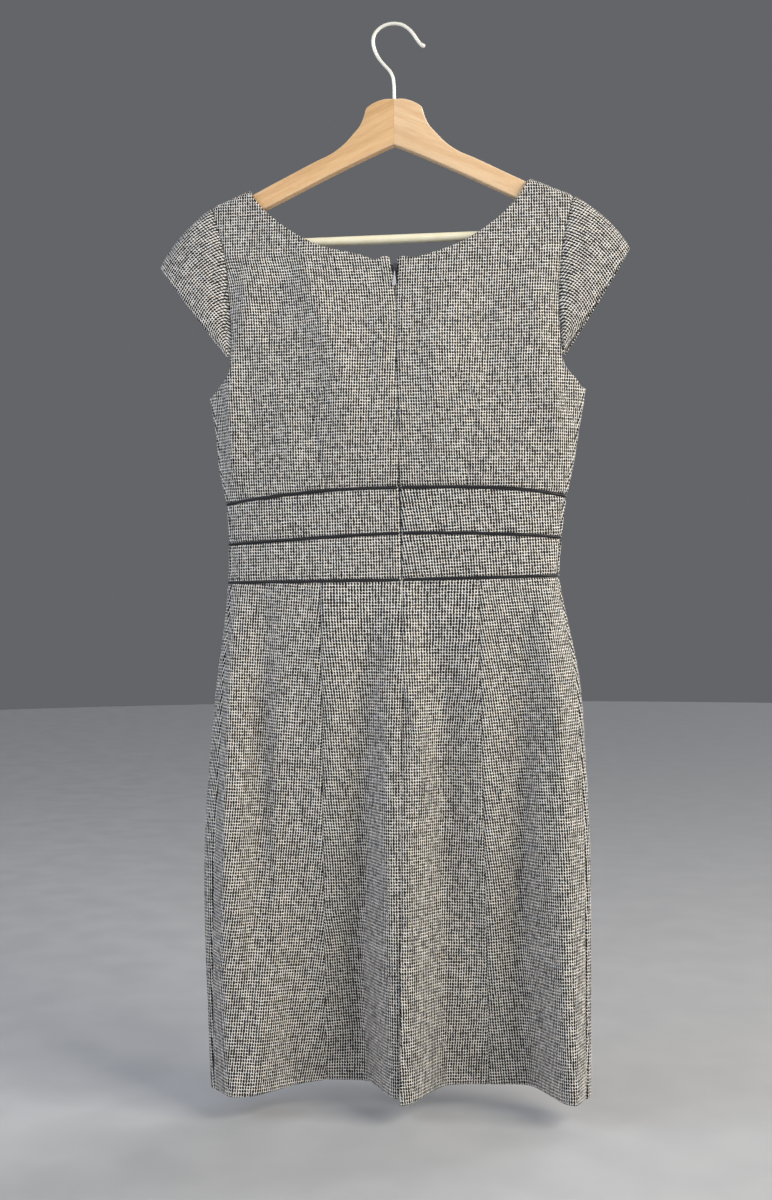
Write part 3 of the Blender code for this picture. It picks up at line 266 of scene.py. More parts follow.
def drop_of(height):
    """The drop that reaches this far below the ridge."""
    inside = np.clip(height / SHOULDER_ROUND, 0, 1)
    return SHOULDER_ROUND * np.arccos(1 - inside) + np.maximum(height - SHOULDER_ROUND, 0)


# %% Depth of the folds and creases
def fold_depth(x, z, face):
    total = np.zeros_like(x)
    for rows in FOLDS[face].values():
        heights, *columns = np.array(rows[::-1], float).T
        at = np.clip(z, heights[0], heights[-1])
        x_from, x_to, slope_left, slope_right, depth = (smooth(at, heights, column) for column in columns)
        inside = ease((x - x_from + slope_left) / slope_left) * ease((x_to + slope_right - x) / slope_right)
        total += depth * inside * ease((heights[-1] + 30 - z) / 30)
    return total


def crease_depth(x, z, face):
    """Each crease is a soft ridge (depth > 0) or trough about a short line."""
    total = np.zeros_like(x)
    for row in CREASES[face]:
        crease = Crease(*row)
        line = np.array([crease.x_to - crease.x_from, crease.z_to - crease.z_from], float)
        length = np.hypot(*line)
        line /= length
        along = ((x - crease.x_from) * line[0] + (z - crease.z_from) * line[1]) / length
        side = (x - crease.x_from) * -line[1] + (z - crease.z_from) * line[0]
        width = np.where(side < 0, crease.left, crease.right)
        ends = ease((along + 0.12) / 0.42) * ease((1.12 - along) / 0.42)
        total += crease.depth * np.exp(-((side / width) ** 2)) * ends
    return total * CREASE_STRENGTH[face]


def ripple(x, z, face):
    """The slight unevenness that cloth keeps after it is pressed."""
    slow = np.sin(x / 23.0 + 1.3 * np.sin(z / 61.0) + face) * np.sin(z / 47.0 + 0.7 * np.sin(x / 37.0))
    fast = np.sin(x / 9.1 + z / 31.0 + 2.0 * face) * np.sin(z / 13.7 - x / 29.0)
    return 0.32 * slow + 0.10 * fast


def skin(places):
    """Outer points of the cloth at (ring, drop) places."""
    ring, drop = np.moveaxis(np.asarray(places, float), -1, 0)
    across, back = np.sin(ring * math.pi / 2), np.cos(ring * math.pi / 2) >= 0
    z = ridge_z(across) - fall(drop)
    cut = section_at(z)
    x = (cut.left + cut.right) / 2 + (cut.right - cut.left) / 2 * across
    side = cut.side_left + (cut.side_right - cut.side_left) * (across + 1) / 2
    bulge = np.sqrt(np.maximum(0, 1 - np.abs(across) ** cut.square))
    over = np.sin(np.clip(drop / SHOULDER_ROUND, 0, math.pi / 2))
    depth = np.where(back, cut.back, cut.front) * bulge * over
    relief = [fold_depth(x, z, face) + (crease_depth(x, z, face) + ripple(x, z, face)) * ease(drop / 30)
              for face in (BACK, FRONT)]
    folds = np.where(back, *relief) * np.minimum(1, 2.2 * bulge)
    return np.stack([x, side + np.where(back, BACK, FRONT) * (depth + folds), z], -1)


def outward(places):
    """Unit normals of the skin, away from the wearer."""
    aside, below = np.array([0.004, 0.0]), np.array([0.0, 0.5])
    along = skin(places + aside) - skin(places - aside)
    down = skin(places + below) - skin(np.maximum(places - below, (-np.inf, 0)))
    return unit(np.cross(down, along))


def unroll(points, front=False):
    """(ring, drop) of points given as (x, z) on the back or the front."""
    points = np.asarray(points, float)
    x, z = points[:, 0], points[:, 1]
    cut = section_at(z)
    across = np.clip((x - (cut.left + cut.right) / 2) / ((cut.right - cut.left) / 2), -1, 1)
    ring = np.arcsin(across) * 2 / math.pi
    drop = drop_of(np.maximum(ridge_z(across) - z, 0))
    return np.stack([2 - ring if front else ring, drop], 1)


def at_heights(ring, z):
    """(ring, drop) of points given as ring coordinates and heights."""
    ring, z = np.broadcast_arrays(np.atleast_1d(ring).astype(float), np.atleast_1d(z).astype(float))
    return np.stack([ring, drop_of(ridge_z(np.sin(ring * math.pi / 2)) - z)], 1)


girth_rings = np.linspace(0, 4, 1601)
for name, z in (("bust", -393.0), ("waist", -590.0), ("hem", HEM_Z + 5)):
    print(name, "girth", round(float(lengths_along(skin(at_heights(girth_rings, z)))[-1])), "mm")

# %% [markdown]
# ## Seam lines and patches
#
# A panel is what lies between four seam lines. Each line is a dense row of points on the skin,
# divided by its true length on the cloth. Cells are small beside an edge, because there the cloth
# sinks into its seam or rolls over a turned edge within a millimetre or two.

# %% Seam lines, as (x, z), read downwards
Row = namedtuple("Row", "z drop_left bend_left drop_right bend_right")
PIPING_ROWS = {
    "top": Row(-494.4, 13.6, 2.0, 10.6, 3.5),
    "middle": Row(-541.8, 8.6, 1.1, 5.6, 2.6),
    "bottom": Row(-590.4, 0.6, 1.0, -3.2, 1.0),
}
CENTRE_BACK = [(-0.4, -288), (1.5, -404), (2.4, -456), (2.6, -495), (3.7, -542), (4.1, -590),
               (4.6, -652), (5.6, -703), (4.3, -750), (3.1, -815), (2.4, -917), (1.9, -978),
               (1.2, -1121)]
NOTCH = {"left": [(-7.4, -252.4), (-5.5, -260), (-2.4, -274), (-0.4, -288)],
         "right": [(1.2, -253.6), (1.6, -262), (1.5, -274), (-0.4, -288)]}
NECK = {"left": [(-7.4, -252.4), (-10.2, -251.6), (-21.8, -254.2), (-38.3, -248.5), (-79.1, -237.2),
                 (-120.5, -213.6), (-154.4, -179.4), (-158.8, -171.4)],
        "right": [(1.2, -253.6), (3.8, -252.8), (20.3, -253.5), (34.9, -250.0), (67.8, -238.4),
                  (100.7, -218.0), (127.4, -192.4), (140.7, -172.4)]}
ARMHOLE = {"left": [(-199.9, -188.4), (-184.6, -244.7), (-179.5, -294.2), (-177.2, -334.3), (-177.6, -350.7)],
           "right": [(184.6, -192.2), (175.0, -233.8), (169.8, -280.0), (169.9, -325.0), (171.9, -351.9)]}
UNDERARM = {"left": [(-177.6, -350.7), (-177.4, -366), (-181.5, -374), (-190.5, -381.6)],
            "right": [(171.9, -351.9), (173.4, -366), (178.0, -375), (184.5, -381.6)]}
UNDERARM_Z = -393.0
PRINCESS = {"left": [(-82.1, -592), (-80.6, -715), (-82.0, -882), (-83.0, -1121)],
            "right": [(83.9, -588), (84.9, -714), (87.1, -880), (88.8, -1121)]}
SIDE_SEAM = {"left": [(-0.90, -393), (-0.90, -506), (-0.86, -591), (-0.78, -734), (-0.76, -832),
                      (-0.79, -937), (-0.88, -1121)],
             "right": [(0.90, -393), (0.92, -506), (0.94, -591), (0.91, -655), (0.87, -775),
                       (0.86, -900), (0.88, -1121)]}
SIDES = ("left", "right")

# %% Dense lines on the skin
DENSE = np.linspace(0, 1, 241)
RING_SIZE = np.array([150.0, 1.0])      # a ring coordinate is worth about 150 mm


def traced(points, front=False):
    """A smooth line through (x, z) points."""
    return unroll(run(points, DENSE), front)


def row_z(row, across):
    """Height of a piping row, where across is -1 at the left and 1 at the right edge."""
    left = row.drop_left * np.abs(across) ** row.bend_left
    right = row.drop_right * np.abs(across) ** row.bend_right
    return row.z - np.where(across < 0, left, right)


def row_line(row, start, end):
    """A piping row's line between two ring coordinates."""
    rings = start + (end - start) * DENSE
    return at_heights(rings, row_z(row, np.sin(rings * math.pi / 2)))


def row_at_side(row, side):
    return float(row_z(row, -0.98 if side == "left" else 0.98))


def side_ring(side, z, front=False):
    line = np.array(SIDE_SEAM[side])[::-1]
    return smooth(z, line[:, 1], line[:, 0]) + (4 if front and side == "left" else 0)


def side_line(side, top_z, bottom_z, front=False):
    z = top_z + (bottom_z - top_z) * DENSE
    return at_heights(side_ring(side, z, front), z)


def centre_line(top_z, bottom_z):
    z = top_z + (bottom_z - top_z) * DENSE
    return unroll(np.stack([x_on(CENTRE_BACK, z), z], 1))


def centre_ring(z):
    return float(unroll([(x_on(CENTRE_BACK, z), z)])[0, 0])


def underarm_line(side, front=False):
    """From the sleeve's heel, under the arm, to the top of the side seam."""
    seam = at_heights(side_ring(side, UNDERARM_Z, front), UNDERARM_Z)
    below = unroll(UNDERARM[side], front)
    if front:                           # the front edge also passes the side's outermost line
        edge = at_heights(3.0 if side == "left" else 1.0, UNDERARM_Z + 0.5)
        below = np.concatenate([below[:-1], edge])
    return run(np.concatenate([below, seam]) * RING_SIZE, DENSE) / RING_SIZE


def length_of(line):
    return float(lengths_along(skin(line))[-1])


def placed(lines, shares):
    """Points at shares of the length of lines that follow one another."""
    line = np.concatenate([lines[0]] + [more[1:] for more in lines[1:]])
    far = shares_along(skin(line))
    return np.stack([np.interp(shares, far, line[:, k]) for k in (0, 1)], 1)


# %% Patches
EDGE_STEPS = [0.0, 0.5, 1.1, 1.9, 3.0]
INSET_REACH = 3.0                       # an edge's move is spread over this many times its length


def graded(lengths, cuts=()):
    """Shares of a run made of these lengths: cells of CELL, and small ones beside ends and cuts."""
    total = float(sum(lengths))
    stops = np.unique(np.round([0.0, *np.cumsum(lengths), *(cut * total for cut in cuts)], 4))
    places = [0.0]
    for start, end in zip(stops, stops[1:]):
        steps = np.array(EDGE_STEPS if end - start > 20 else [0.0])
        count = max(2, round((end - start - 2 * steps[-1]) / CELL) + 1)
        middle = np.linspace(start + steps[-1], end - steps[-1], count)
        places.extend(np.concatenate([start + steps[:-1], middle, end - steps[:-1][::-1]])[1:])
    return np.array(places) / places[-1]


def patch(bottom, top, left, right, cuts=()):
    """A grid of (ring, drop) between four sides, each a list of lines. Rows go up and columns go
    along the ring. cuts are shares of the width where columns are small too, as beside a dart."""
    across = top if len(top) > len(bottom) else bottom
    upward = left if len(left) > len(right) else right
    u = graded([length_of(line) for line in across], cuts)
    t = graded([length_of(line) for line in upward])
    low, high, start, end = placed(bottom, u), placed(top, u), placed(left, t), placed(right, t)
    u, t = u[None, :, None], t[:, None, None]
    corners = (1 - t) * ((1 - u) * low[0] + u * low[-1]) + t * ((1 - u) * high[0] + u * high[-1])
    return (1 - t) * low + t * high + (1 - u) * start[:, None] + u * end[:, None] - corners


def edge_distances(points):
    """How far each grid point lies from the four edges, along the cloth."""
    across, upward = lengths_along(points, 1), lengths_along(points, 0)
    return {"left": across, "right": across[:, -1:] - across, "bottom": upward, "top": upward[-1:] - upward}


def inset(grid, left=0.0, right=0.0, bottom=0.0, top=0.0):
    """The grid with its edges moved in by these lengths on the cloth."""
    grid, steps = grid.copy(), np.diag([0.004, 0.5])
    far = edge_distances(skin(grid))
    moves = (("left", 0, left), ("right", 0, -right), ("bottom", 1, -bottom), ("top", 1, top))
    for side, axis, length in moves:
        if np.any(length):
            per_unit = np.linalg.norm(skin(grid + steps[axis]) - skin(grid), axis=-1) / steps[axis, axis]
            share = np.clip(1 - far[side] / (INSET_REACH * np.abs(length) + 1e-6), 0, 1)
            grid[..., axis] += length * share / per_unit
    return grid


# %% [markdown]
# ## Grain
#
# Cloth is cut with its threads level and upright, and the check shows where it is not. Each panel
# therefore gets a UV map in metres: across, the length along the cloth at one height, measured
# from the panel's own grain line, and down, the way down the cloth. Neighbouring panels have
# different grain lines, so the check breaks at their seam, as it does on the real dress.

# %% Girth at every height
LEVEL_STEP = 4.0
LEVELS = np.arange(-1132.0, -150.0, LEVEL_STEP)
TURNS = np.linspace(-1.2, 4.2, 1081)
turns, levels = np.meshgrid(TURNS, LEVELS)
places = at_heights(turns.ravel(), levels.ravel()).reshape(len(LEVELS), len(TURNS), 2)
GIRTH = lengths_along(skin(places), 1)
print("girth table", GIRTH.shape, "from", round(float(GIRTH[0, -1])), "to", round(float(GIRTH[-1, -1])), "mm")


def girth_at(ring, z):
    """Length along the cloth at height z, from the table's first ring."""
    level = np.clip((z - LEVELS[0]) / LEVEL_STEP, 0, len(LEVELS) - 1.001)
    turn = np.clip((ring - TURNS[0]) / (TURNS[1] - TURNS[0]), 0, len(TURNS) - 1.001)
    r, c = level.astype(int), turn.astype(int)
    up, on = level - r, turn - c
    lower = GIRTH[r, c] * (1 - on) + GIRTH[r, c + 1] * on
    upper = GIRTH[r + 1, c] * (1 - on) + GIRTH[r + 1, c + 1] * on
    return lower * (1 - up) + upper * up


def heights_of(grid):
    return ridge_z(np.sin(grid[..., 0] * math.pi / 2)) - fall(grid[..., 1])


def turned(across, down, angle):
    """UV in metres of two lengths in millimetres, turned by an angle."""
    cos, sin = math.cos(angle), math.sin(angle)
    return np.stack([across * cos + down * sin, down * cos - across * sin], -1) * MM


def grain(grid, reference, turn=0.0, shift=0.0):
    """UV of a panel in metres. reference gives the ring of its grain line at a height, turn leans
    the threads, and shift moves them sideways, as where a dart takes cloth in."""
    z = heights_of(grid)
    across = girth_at(grid[..., 0], z) - girth_at(np.broadcast_to(reference(z), z.shape), z) + shift
    return turned(across, z - grid[..., 1] + fall(grid[..., 1]) + 600.0, turn)


# %% [markdown]
# ## Turning a grid into cloth
#
# The cloth is a closed thin shell: an outer face, an inner face and a rim. At a seam both panels
# dip, because the stitches pull them down. A few millimetres away they swell a little over the
# seam allowance underneath. A free edge is turned under, so its rim is round. The hem's allowance
# is turned up inside, which makes the last 35 mm thicker there.

# %% The cloth's edges
TWEED_THICK = 1.5
HEM_TURN = 35.0
HEM_EXTRA = 0.8
EdgeKind = namedtuple("EdgeKind", "dip width swell rounding")
EDGES = {
    "seam": EdgeKind(1.40, 1.4, 0.28, 0.0),
    "zip": EdgeKind(1.70, 1.6, 0.35, 0.0),
    "piped": EdgeKind(0.90, 2.2, 0.20, 0.0),
    "turned": EdgeKind(0.30, 0.8, 0.0, 0.9),
    "joined": EdgeKind(0.0, 1.0, 0.0, 0.0),
}


def edge_lift(points, edges, weights):
    """How far the cloth sinks or swells beside its edges."""
    far = edge_distances(points)
    lift = np.zeros(points.shape[:2])
    for side, name in edges.items():
        kind, weight = EDGES[name], weights.get(side, 1.0)
        pucker = 1 + 0.22 * np.sin(points[..., 2] / 3.9 + 2.1 * np.sin(points[..., 2] / 17.0))
        dip = kind.dip * np.exp(-((far[side] / kind.width) ** 2)) * pucker
        swell = kind.swell * np.exp(-(((far[side] - 7.0) / 4.5) ** 2))
        lift += weight * (swell - dip)
    return lift


# %% A closed shell from a grid
def added(name, data):
    """A new object in the scene, at the origin."""
    made = bpy.data.objects.new(name, data)
    bpy.context.scene.collection.objects.link(made)
    return made


def mesh_piece(name, points, faces, uv, material):
    """A smooth shaded mesh object with a UV map called grain, given for each vertex."""
    mesh = bpy.data.meshes.new(name)
    mesh.from_pydata(np.asarray(points).tolist(), [], faces if isinstance(faces, list) else faces.tolist())
    layer = mesh.uv_layers.new(name="grain")
    corner = np.zeros(len(mesh.loops), int)
    mesh.loops.foreach_get("vertex_index", corner)
    layer.data.foreach_set("uv", np.asarray(uv)[corner].ravel())
    mesh.materials.append(material)
    mesh.shade_smooth()
    return added(name, mesh)


def shell(name, outer, inner, uv, edges, material):
    """A closed mesh between two grids, with a rim that is round at turned edges."""
    rows, columns = outer.shape[:2]
    index = np.arange(rows * columns).reshape(rows, columns)
    rim = [(0, c) for c in range(columns)] + [(r, columns - 1) for r in range(1, rows)]
    rim += [(rows - 1, c) for c in range(columns - 2, -1, -1)] + [(r, 0) for r in range(rows - 2, 0, -1)]
    middle = []
    for r, c in rim:
        met = {"bottom": r == 0, "top": r == rows - 1, "left": c == 0, "right": c == columns - 1}
        within = outer[min(max(r, 1), rows - 2), min(max(c, 1), columns - 2)]
        half = np.linalg.norm(outer[r, c] - inner[r, c]) / 2
        rounding = max(EDGES[edges[side]].rounding for side in met if met[side])
        middle.append((outer[r, c] + inner[r, c]) / 2 + unit(outer[r, c] - within) * half * rounding)
    points = np.concatenate([outer.reshape(-1, 3), inner.reshape(-1, 3), np.array(middle)]) * MM
    a, b, c, d = index[:-1, :-1], index[:-1, 1:], index[1:, 1:], index[1:, :-1]
    front = np.stack([a, b, c, d], -1).reshape(-1, 4)
    back = np.stack([a, d, c, b], -1).reshape(-1, 4) + index.size
    outer_rim = np.array([index[r, c] for r, c in rim])
    middle_rim = np.arange(len(rim)) + 2 * index.size
    after = np.roll(np.arange(len(rim)), -1)
    near = np.stack([outer_rim[after], outer_rim, middle_rim, middle_rim[after]], -1)
    far = np.stack([middle_rim[after], middle_rim, outer_rim + index.size, outer_rim[after] + index.size], -1)
    rim_uv = np.array([uv[r, c] for r, c in rim])
    uv = np.concatenate([uv.reshape(-1, 2), uv.reshape(-1, 2), rim_uv])
    return mesh_piece(name, points, np.concatenate([front, back, near, far]), uv, material)


# %% [markdown]
# ## Shader helpers
#
# Each finish is a node group with named inputs, so that one weave or one grain serves several
# pieces. The Principled shader stays in the material, with its constant values on its own sockets.
# A Wire is a value on its way through a tree, so that a pattern reads as plain arithmetic.

# %% Small helpers for node trees
def node(tree, kind, inputs=None, **settings):
    """A new node. Each input is a plain value, or another node's socket or wire."""
    made = tree.nodes.new(kind)
    for key, value in settings.items():
        setattr(made, key, value)
    for key, value in (inputs or {}).items():
        value = value.socket if isinstance(value, Wire) else value
        if isinstance(value, bpy.types.NodeSocket):
            tree.links.new(value, made.inputs[key])
        else:
            made.inputs[key].default_value = value
    return made


class Wire:
    def __init__(self, socket):
        self.socket, self.tree = socket, socket.id_data

    def into(self, kind, *others, output=0, **settings):
        """The wire out of a new node that takes this one and the others as its first inputs."""
        return Wire(node(self.tree, kind, dict(enumerate([self, *others])), **settings).outputs[output])

    def maths(self, operation, *others):
        return self.into("ShaderNodeMath", *others, operation=operation)

    def __add__(self, other):
        return self.maths("ADD", other)

    def __sub__(self, other):
        return self.maths("SUBTRACT", other)

    def __rsub__(self, other):
        return Wire(node(self.tree, "ShaderNodeMath", {0: other, 1: self}, operation="SUBTRACT").outputs[0])

    def __mul__(self, other):
        return self.maths("MULTIPLY", other)

    def __truediv__(self, other):
        return self.maths("DIVIDE", other)

    def __pow__(self, other):
        return self.maths("POWER", other)

    def __abs__(self):
        return self.maths("ABSOLUTE")

    def between(self, low, high, to_low=0.0, to_high=1.0, kind="SMOOTHSTEP"):
        """The value carried from one range to another."""
        return self.into("ShaderNodeMapRange", low, high, to_low, to_high, interpolation_type=kind)

    def blend(self, first, second):
        """From one colour to another as the value goes from 0 to 1."""
        mixed = node(self.tree, "ShaderNodeMix", {0: self, 6: first, 7: second}, data_type="RGBA")
        return Wire(mixed.outputs[2])

    def parts(self, kind="ShaderNodeSeparateColor"):
        return [Wire(output) for output in node(self.tree, kind, {0: self}).outputs]

    def scaled(self, scale):
        return Wire(node(self.tree, "ShaderNodeMapping", {"Vector": self, "Scale": scale}).outputs[0])

    def noise(self, scale, detail, output=0, dimensions="3D", **inputs):
        """Noise at this place. Output 0 is grey, and 1 has a colour with three values of its own."""
        inputs.update(Vector=self, Scale=scale, Detail=detail)
        made = node(self.tree, "ShaderNodeTexNoise", inputs, noise_dimensions=dimensions)
        return Wire(made.outputs[output])


def shader_group(name, defaults):
    """A node group with a place and other named inputs. Returns a wire from each of them."""
    group = bpy.data.node_groups.new(name, "ShaderNodeTree")
    group.interface.new_socket("Place", in_out="INPUT", socket_type="NodeSocketVector")
    for label, value in defaults.items():
        kind = "NodeSocketColor" if isinstance(value, tuple) else "NodeSocketFloat"
        group.interface.new_socket(label, in_out="INPUT", socket_type=kind).default_value = value
    return {socket.name: Wire(socket) for socket in group.nodes.new("NodeGroupInput").outputs if socket.name}


def surface(colour, roughness, height):
    """Leads a surface's colour, roughness and height out of their group, and returns the group."""
    results = {"Colour": colour, "Roughness": roughness, "Height": height}
    for label in results:
        kind = "NodeSocketColor" if label == "Colour" else "NodeSocketFloat"
        colour.tree.interface.new_socket(label, in_out="OUTPUT", socket_type=kind)
    node(colour.tree, "NodeGroupOutput", results)
    return colour.tree


def finish_of(name, group, values, bump=0.0, bump_distance=0.0002, uv=False, mapping=None, **constants):
    """A material: the group gives colour, roughness and height, and the rest is constant."""
    material = bpy.data.materials.new(name)
    material.use_nodes = True
    tree = material.node_tree
    shader = tree.nodes["Principled BSDF"]
    if uv:
        place = node(tree, "ShaderNodeUVMap", uv_map="grain").outputs[0]
    else:
        place = node(tree, "ShaderNodeTexCoord").outputs["Object"]
    if mapping:
        place = node(tree, "ShaderNodeMapping", {"Vector": place, **mapping}).outputs[0]
    made = node(tree, "ShaderNodeGroup", node_tree=group)
    for key, value in values.items():
        made.inputs[key].default_value = value
    tree.links.new(place, made.inputs["Place"])
    tree.links.new(made.outputs["Colour"], shader.inputs["Base Color"])
    tree.links.new(made.outputs["Roughness"], shader.inputs["Roughness"])
    if bump:
        relief = {"Strength": bump, "Distance": bump_distance, "Height": made.outputs["Height"]}
        tree.links.new(node(tree, "ShaderNodeBump", relief).outputs[0], shader.inputs["Normal"])
    for key, value in constants.items():
        shader.inputs[key.replace("_", " ")].default_value = value
    return material


UNSET = (0.0, 0.0, 0.0, 1.0)            # a colour that each material gives itself

# %% [markdown]
# ## The tweed
#
# Woollen yarn is uneven: spots differ in size, some run into the next one down, and the light yarn
# turns from ecru to pink beige or grey blue. The spot is a rounded square worked out from the two
# fractions of the place in the repeat, which white noise makes larger or smaller in each cell.
# Bands and sleeves are cut from the same cloth, eased a little differently.

# %% The weave
def tweed_weave():
    given = shader_group("check_weave", {
        "Repeats across": 376.0, "Repeats down": 303.0, "Spot width": 0.395, "Spot height": 0.468,
        "Lean": 0.20, "Wander": 0.24, "Light yarn": (0.92, 0.89, 0.835, 1),
        "Dark yarn": (0.008, 0.008, 0.012, 1)})
    place = given["Place"]
    slow, quick = (place.noise(scale, 1.0, 1, "2D").parts() for scale in (95.0, 620.0))
    cells, offsets = [], []
    for at, drift, shake, way in zip(place.parts("ShaderNodeSeparateXYZ"), slow, quick, ("across", "down")):
        wander = (drift - 0.5) + (shake - 0.5) * 0.9
        repeat = at * given["Repeats " + way] + wander * given["Wander"]
        cells.append(repeat.maths("FLOOR"))
        offsets.append(repeat.maths("FRACT") - 0.5)
    aside = abs(offsets[0] + offsets[1] * given["Lean"])
    cell = cells[0].into("ShaderNodeCombineXYZ", cells[1])
    chance = node(place.tree, "ShaderNodeTexWhiteNoise", {"Vector": cell}, noise_dimensions="2D")
    dice = Wire(chance.outputs["Color"]).parts()
    wide = given["Spot width"] * dice[0].between(0, 1, 0.84, 1.16, "LINEAR")
    tall = given["Spot height"] * dice[1].between(0, 1, 0.80, 1.24, "LINEAR")
    square = (aside / wide) ** 2.6 + (abs(offsets[1]) / tall) ** 2.6
    spot = square.between(0.88, 1.18, 1.0, 0.0)
    dark = spot * dice[2].between(0, 1, 0.965, 1.0, "LINEAR")
    fibre, tint = place.noise(2600.0, 2.0, 0, "2D"), place.noise(150.0, 1.5, 0, "2D")
    warm = tint.between(0.52, 0.70).blend(given["Light yarn"], (0.92, 0.86, 0.785, 1))
    light = tint.between(0.47, 0.32).blend(warm, (0.87, 0.865, 0.86, 1))
    shade = fibre.between(0.25, 0.75, 0.80, 1.12, "LINEAR")
    woolly = node(place.tree, "ShaderNodeMix", {0: 1.0, 6: light, 7: shade}, data_type="RGBA",
                  blend_type="MULTIPLY")
    colour = dark.blend(woolly.outputs[2], given["Dark yarn"])
    raised = (1.0 - spot) * 0.65 + fibre * 0.35
    return surface(colour, fibre.between(0.2, 0.8, 0.84, 0.96, "LINEAR"), raised)


weave = tweed_weave()
TWEED, BAND_TWEED, SLEEVE_TWEED = (
    finish_of(name, weave, repeats, bump=0.5, bump_distance=0.0004, uv=True, Sheen_Weight=0.05,
              Sheen_Roughness=0.5, Specular_IOR_Level=0.2)
    for name, repeats in (("tweed", {}), ("tweed_band", {"Repeats across": 352.0}),
                          ("tweed_sleeve", {"Repeats across": 346.0, "Repeats down": 334.0})))
print("weave nodes", len(weave.nodes))

# %% [markdown]
# ## Satin, zip tape and metal
#
# The piping is satin cut on the bias and folded over a cord, so its floats run slantwise and it
# shines along its round. Zip tape is a narrow woven twill. Both are one group of fine slanting
# ribs with different sizes. Metal parts share one group of soft scratches.

# %% Ribbed thread cloth
def slanted_ribs():
    given = shader_group("slanted_ribs", {"Ribs": 2600.0, "Slant": 0.8, "Base": UNSET, "Lit rib": UNSET,
                                          "Smoothness": 0.3})
    across, down, _ = given["Place"].parts("ShaderNodeSeparateXYZ")
    cloud = given["Place"].noise(160.0, 3.0)
    wave = ((down + across * given["Slant"]) * given["Ribs"] + cloud * 2.0).maths("SINE")
    rib = wave.between(-1.0, 1.0, 0.0, 1.0, "LINEAR")
    colour = (rib * cloud).blend(given["Base"], given["Lit rib"])
    return surface(colour, given["Smoothness"] + cloud * 0.18, rib)


ribs = slanted_ribs()
SATIN = finish_of("satin", ribs, {"Base": (0.004, 0.004, 0.006, 1), "Lit rib": (0.014, 0.017, 0.024, 1),
                                  "Smoothness": 0.36}, bump=0.25, bump_distance=0.0001, uv=True)
TAPE = finish_of("zip_tape", ribs, {"Base": (0.010, 0.010, 0.013, 1), "Lit rib": (0.05, 0.05, 0.06, 1),
                                    "Ribs": 5200.0, "Slant": 1.0, "Smoothness": 0.62},
                 bump=0.5, bump_distance=0.0001, uv=True)
COIL = finish_of("zip_coil", ribs, {"Base": (0.015, 0.015, 0.018, 1), "Lit rib": (0.05, 0.05, 0.055, 1),
                                    "Smoothness": 0.25})
THREAD = finish_of("thread", ribs, {"Base": (0.62, 0.58, 0.50, 1), "Lit rib": (0.78, 0.74, 0.66, 1),
                                    "Ribs": 9000.0, "Smoothness": 0.5})


# %% Metal and lacquer
def rubbed_metal():
    given = shader_group("rubbed_metal", {"Base": UNSET, "Worn": UNSET, "Smoothness": 0.15})
    colour = given["Place"].noise(90.0, 4.0).between(0.35, 0.7).blend(given["Base"], given["Worn"])
    scratch = given["Place"].scaled((90.0, 90.0, 260.0)).noise(1.0, 2.0)
    return surface(colour, given["Smoothness"] + scratch * 0.16, scratch)


metal = rubbed_metal()
STEEL = finish_of("hook_steel", metal, {"Base": (0.95, 0.93, 0.85, 1), "Worn": (0.90, 0.88, 0.80, 1),
                                        "Smoothness": 0.30},
                  Metallic=0.2, Coat_Weight=0.3, Coat_Roughness=0.3)
NICKEL = finish_of("zip_nickel", metal, {"Base": (0.62, 0.62, 0.65, 1), "Worn": (0.46, 0.46, 0.49, 1),
                                         "Smoothness": 0.34},
                   Metallic=1.0)
ENAMEL = finish_of("zip_enamel", metal, {"Base": (0.016, 0.016, 0.020, 1), "Worn": (0.03, 0.03, 0.035, 1),
                                         "Smoothness": 0.30},
                   Coat_Weight=0.4, Coat_Roughness=0.2)
CREAM = finish_of("cream_lacquer", metal, {"Base": (0.96, 0.91, 0.70, 1), "Worn": (0.93, 0.86, 0.62, 1),
                                           "Smoothness": 0.30},
                  bump=0.10, Coat_Weight=0.3, Coat_Roughness=0.15)


# %% [markdown]
# ## Wood
#
# Each half of the hanger is a plank of pale beech that runs along its own arm, so the grain leans
# the other way on the other half. Long streaks are noise stretched along the arm. The short dark
# dashes are the rays that beech is known by. A thin varnish gives it a clear coat.

# %% Beech
def beech_grain():
    given = shader_group("beech_grain", {"Light wood": UNSET, "Dark wood": UNSET})
    place = given["Place"]
    streak = place.scaled((5.0, 60.0, 110.0)).noise(1.0, 5.0, Roughness=0.6, Distortion=0.15)
    pore = place.scaled((55.0, 500.0, 900.0)).noise(1.0, 3.0)
    dashes = {"Vector": place.scaled((330.0, 800.0, 1900.0)), "Scale": 1.0}
    dashed = Wire(node(place.tree, "ShaderNodeTexVoronoi", dashes).outputs["Distance"])
    rays = dashed.between(0.30, 0.12) * 0.35
    # A paler colour is painted along the rounded edges: a painted highlight for the light that they catch.
    highlight_attribute = node(place.tree, "ShaderNodeAttribute", attribute_name="painted_edge_highlight")
    painted_highlight = Wire(highlight_attribute.outputs["Fac"]) * 0.28
    tone = streak * 0.75 + pore * 0.35
    colour = tone.between(0.40, 0.72).blend(given["Light wood"], given["Dark wood"])
    colour = painted_highlight.blend(rays.blend(colour, given["Dark wood"]), (0.96, 0.84, 0.66, 1))
    return surface(colour, pore.between(0.3, 0.7, 0.34, 0.46, "LINEAR"), tone)


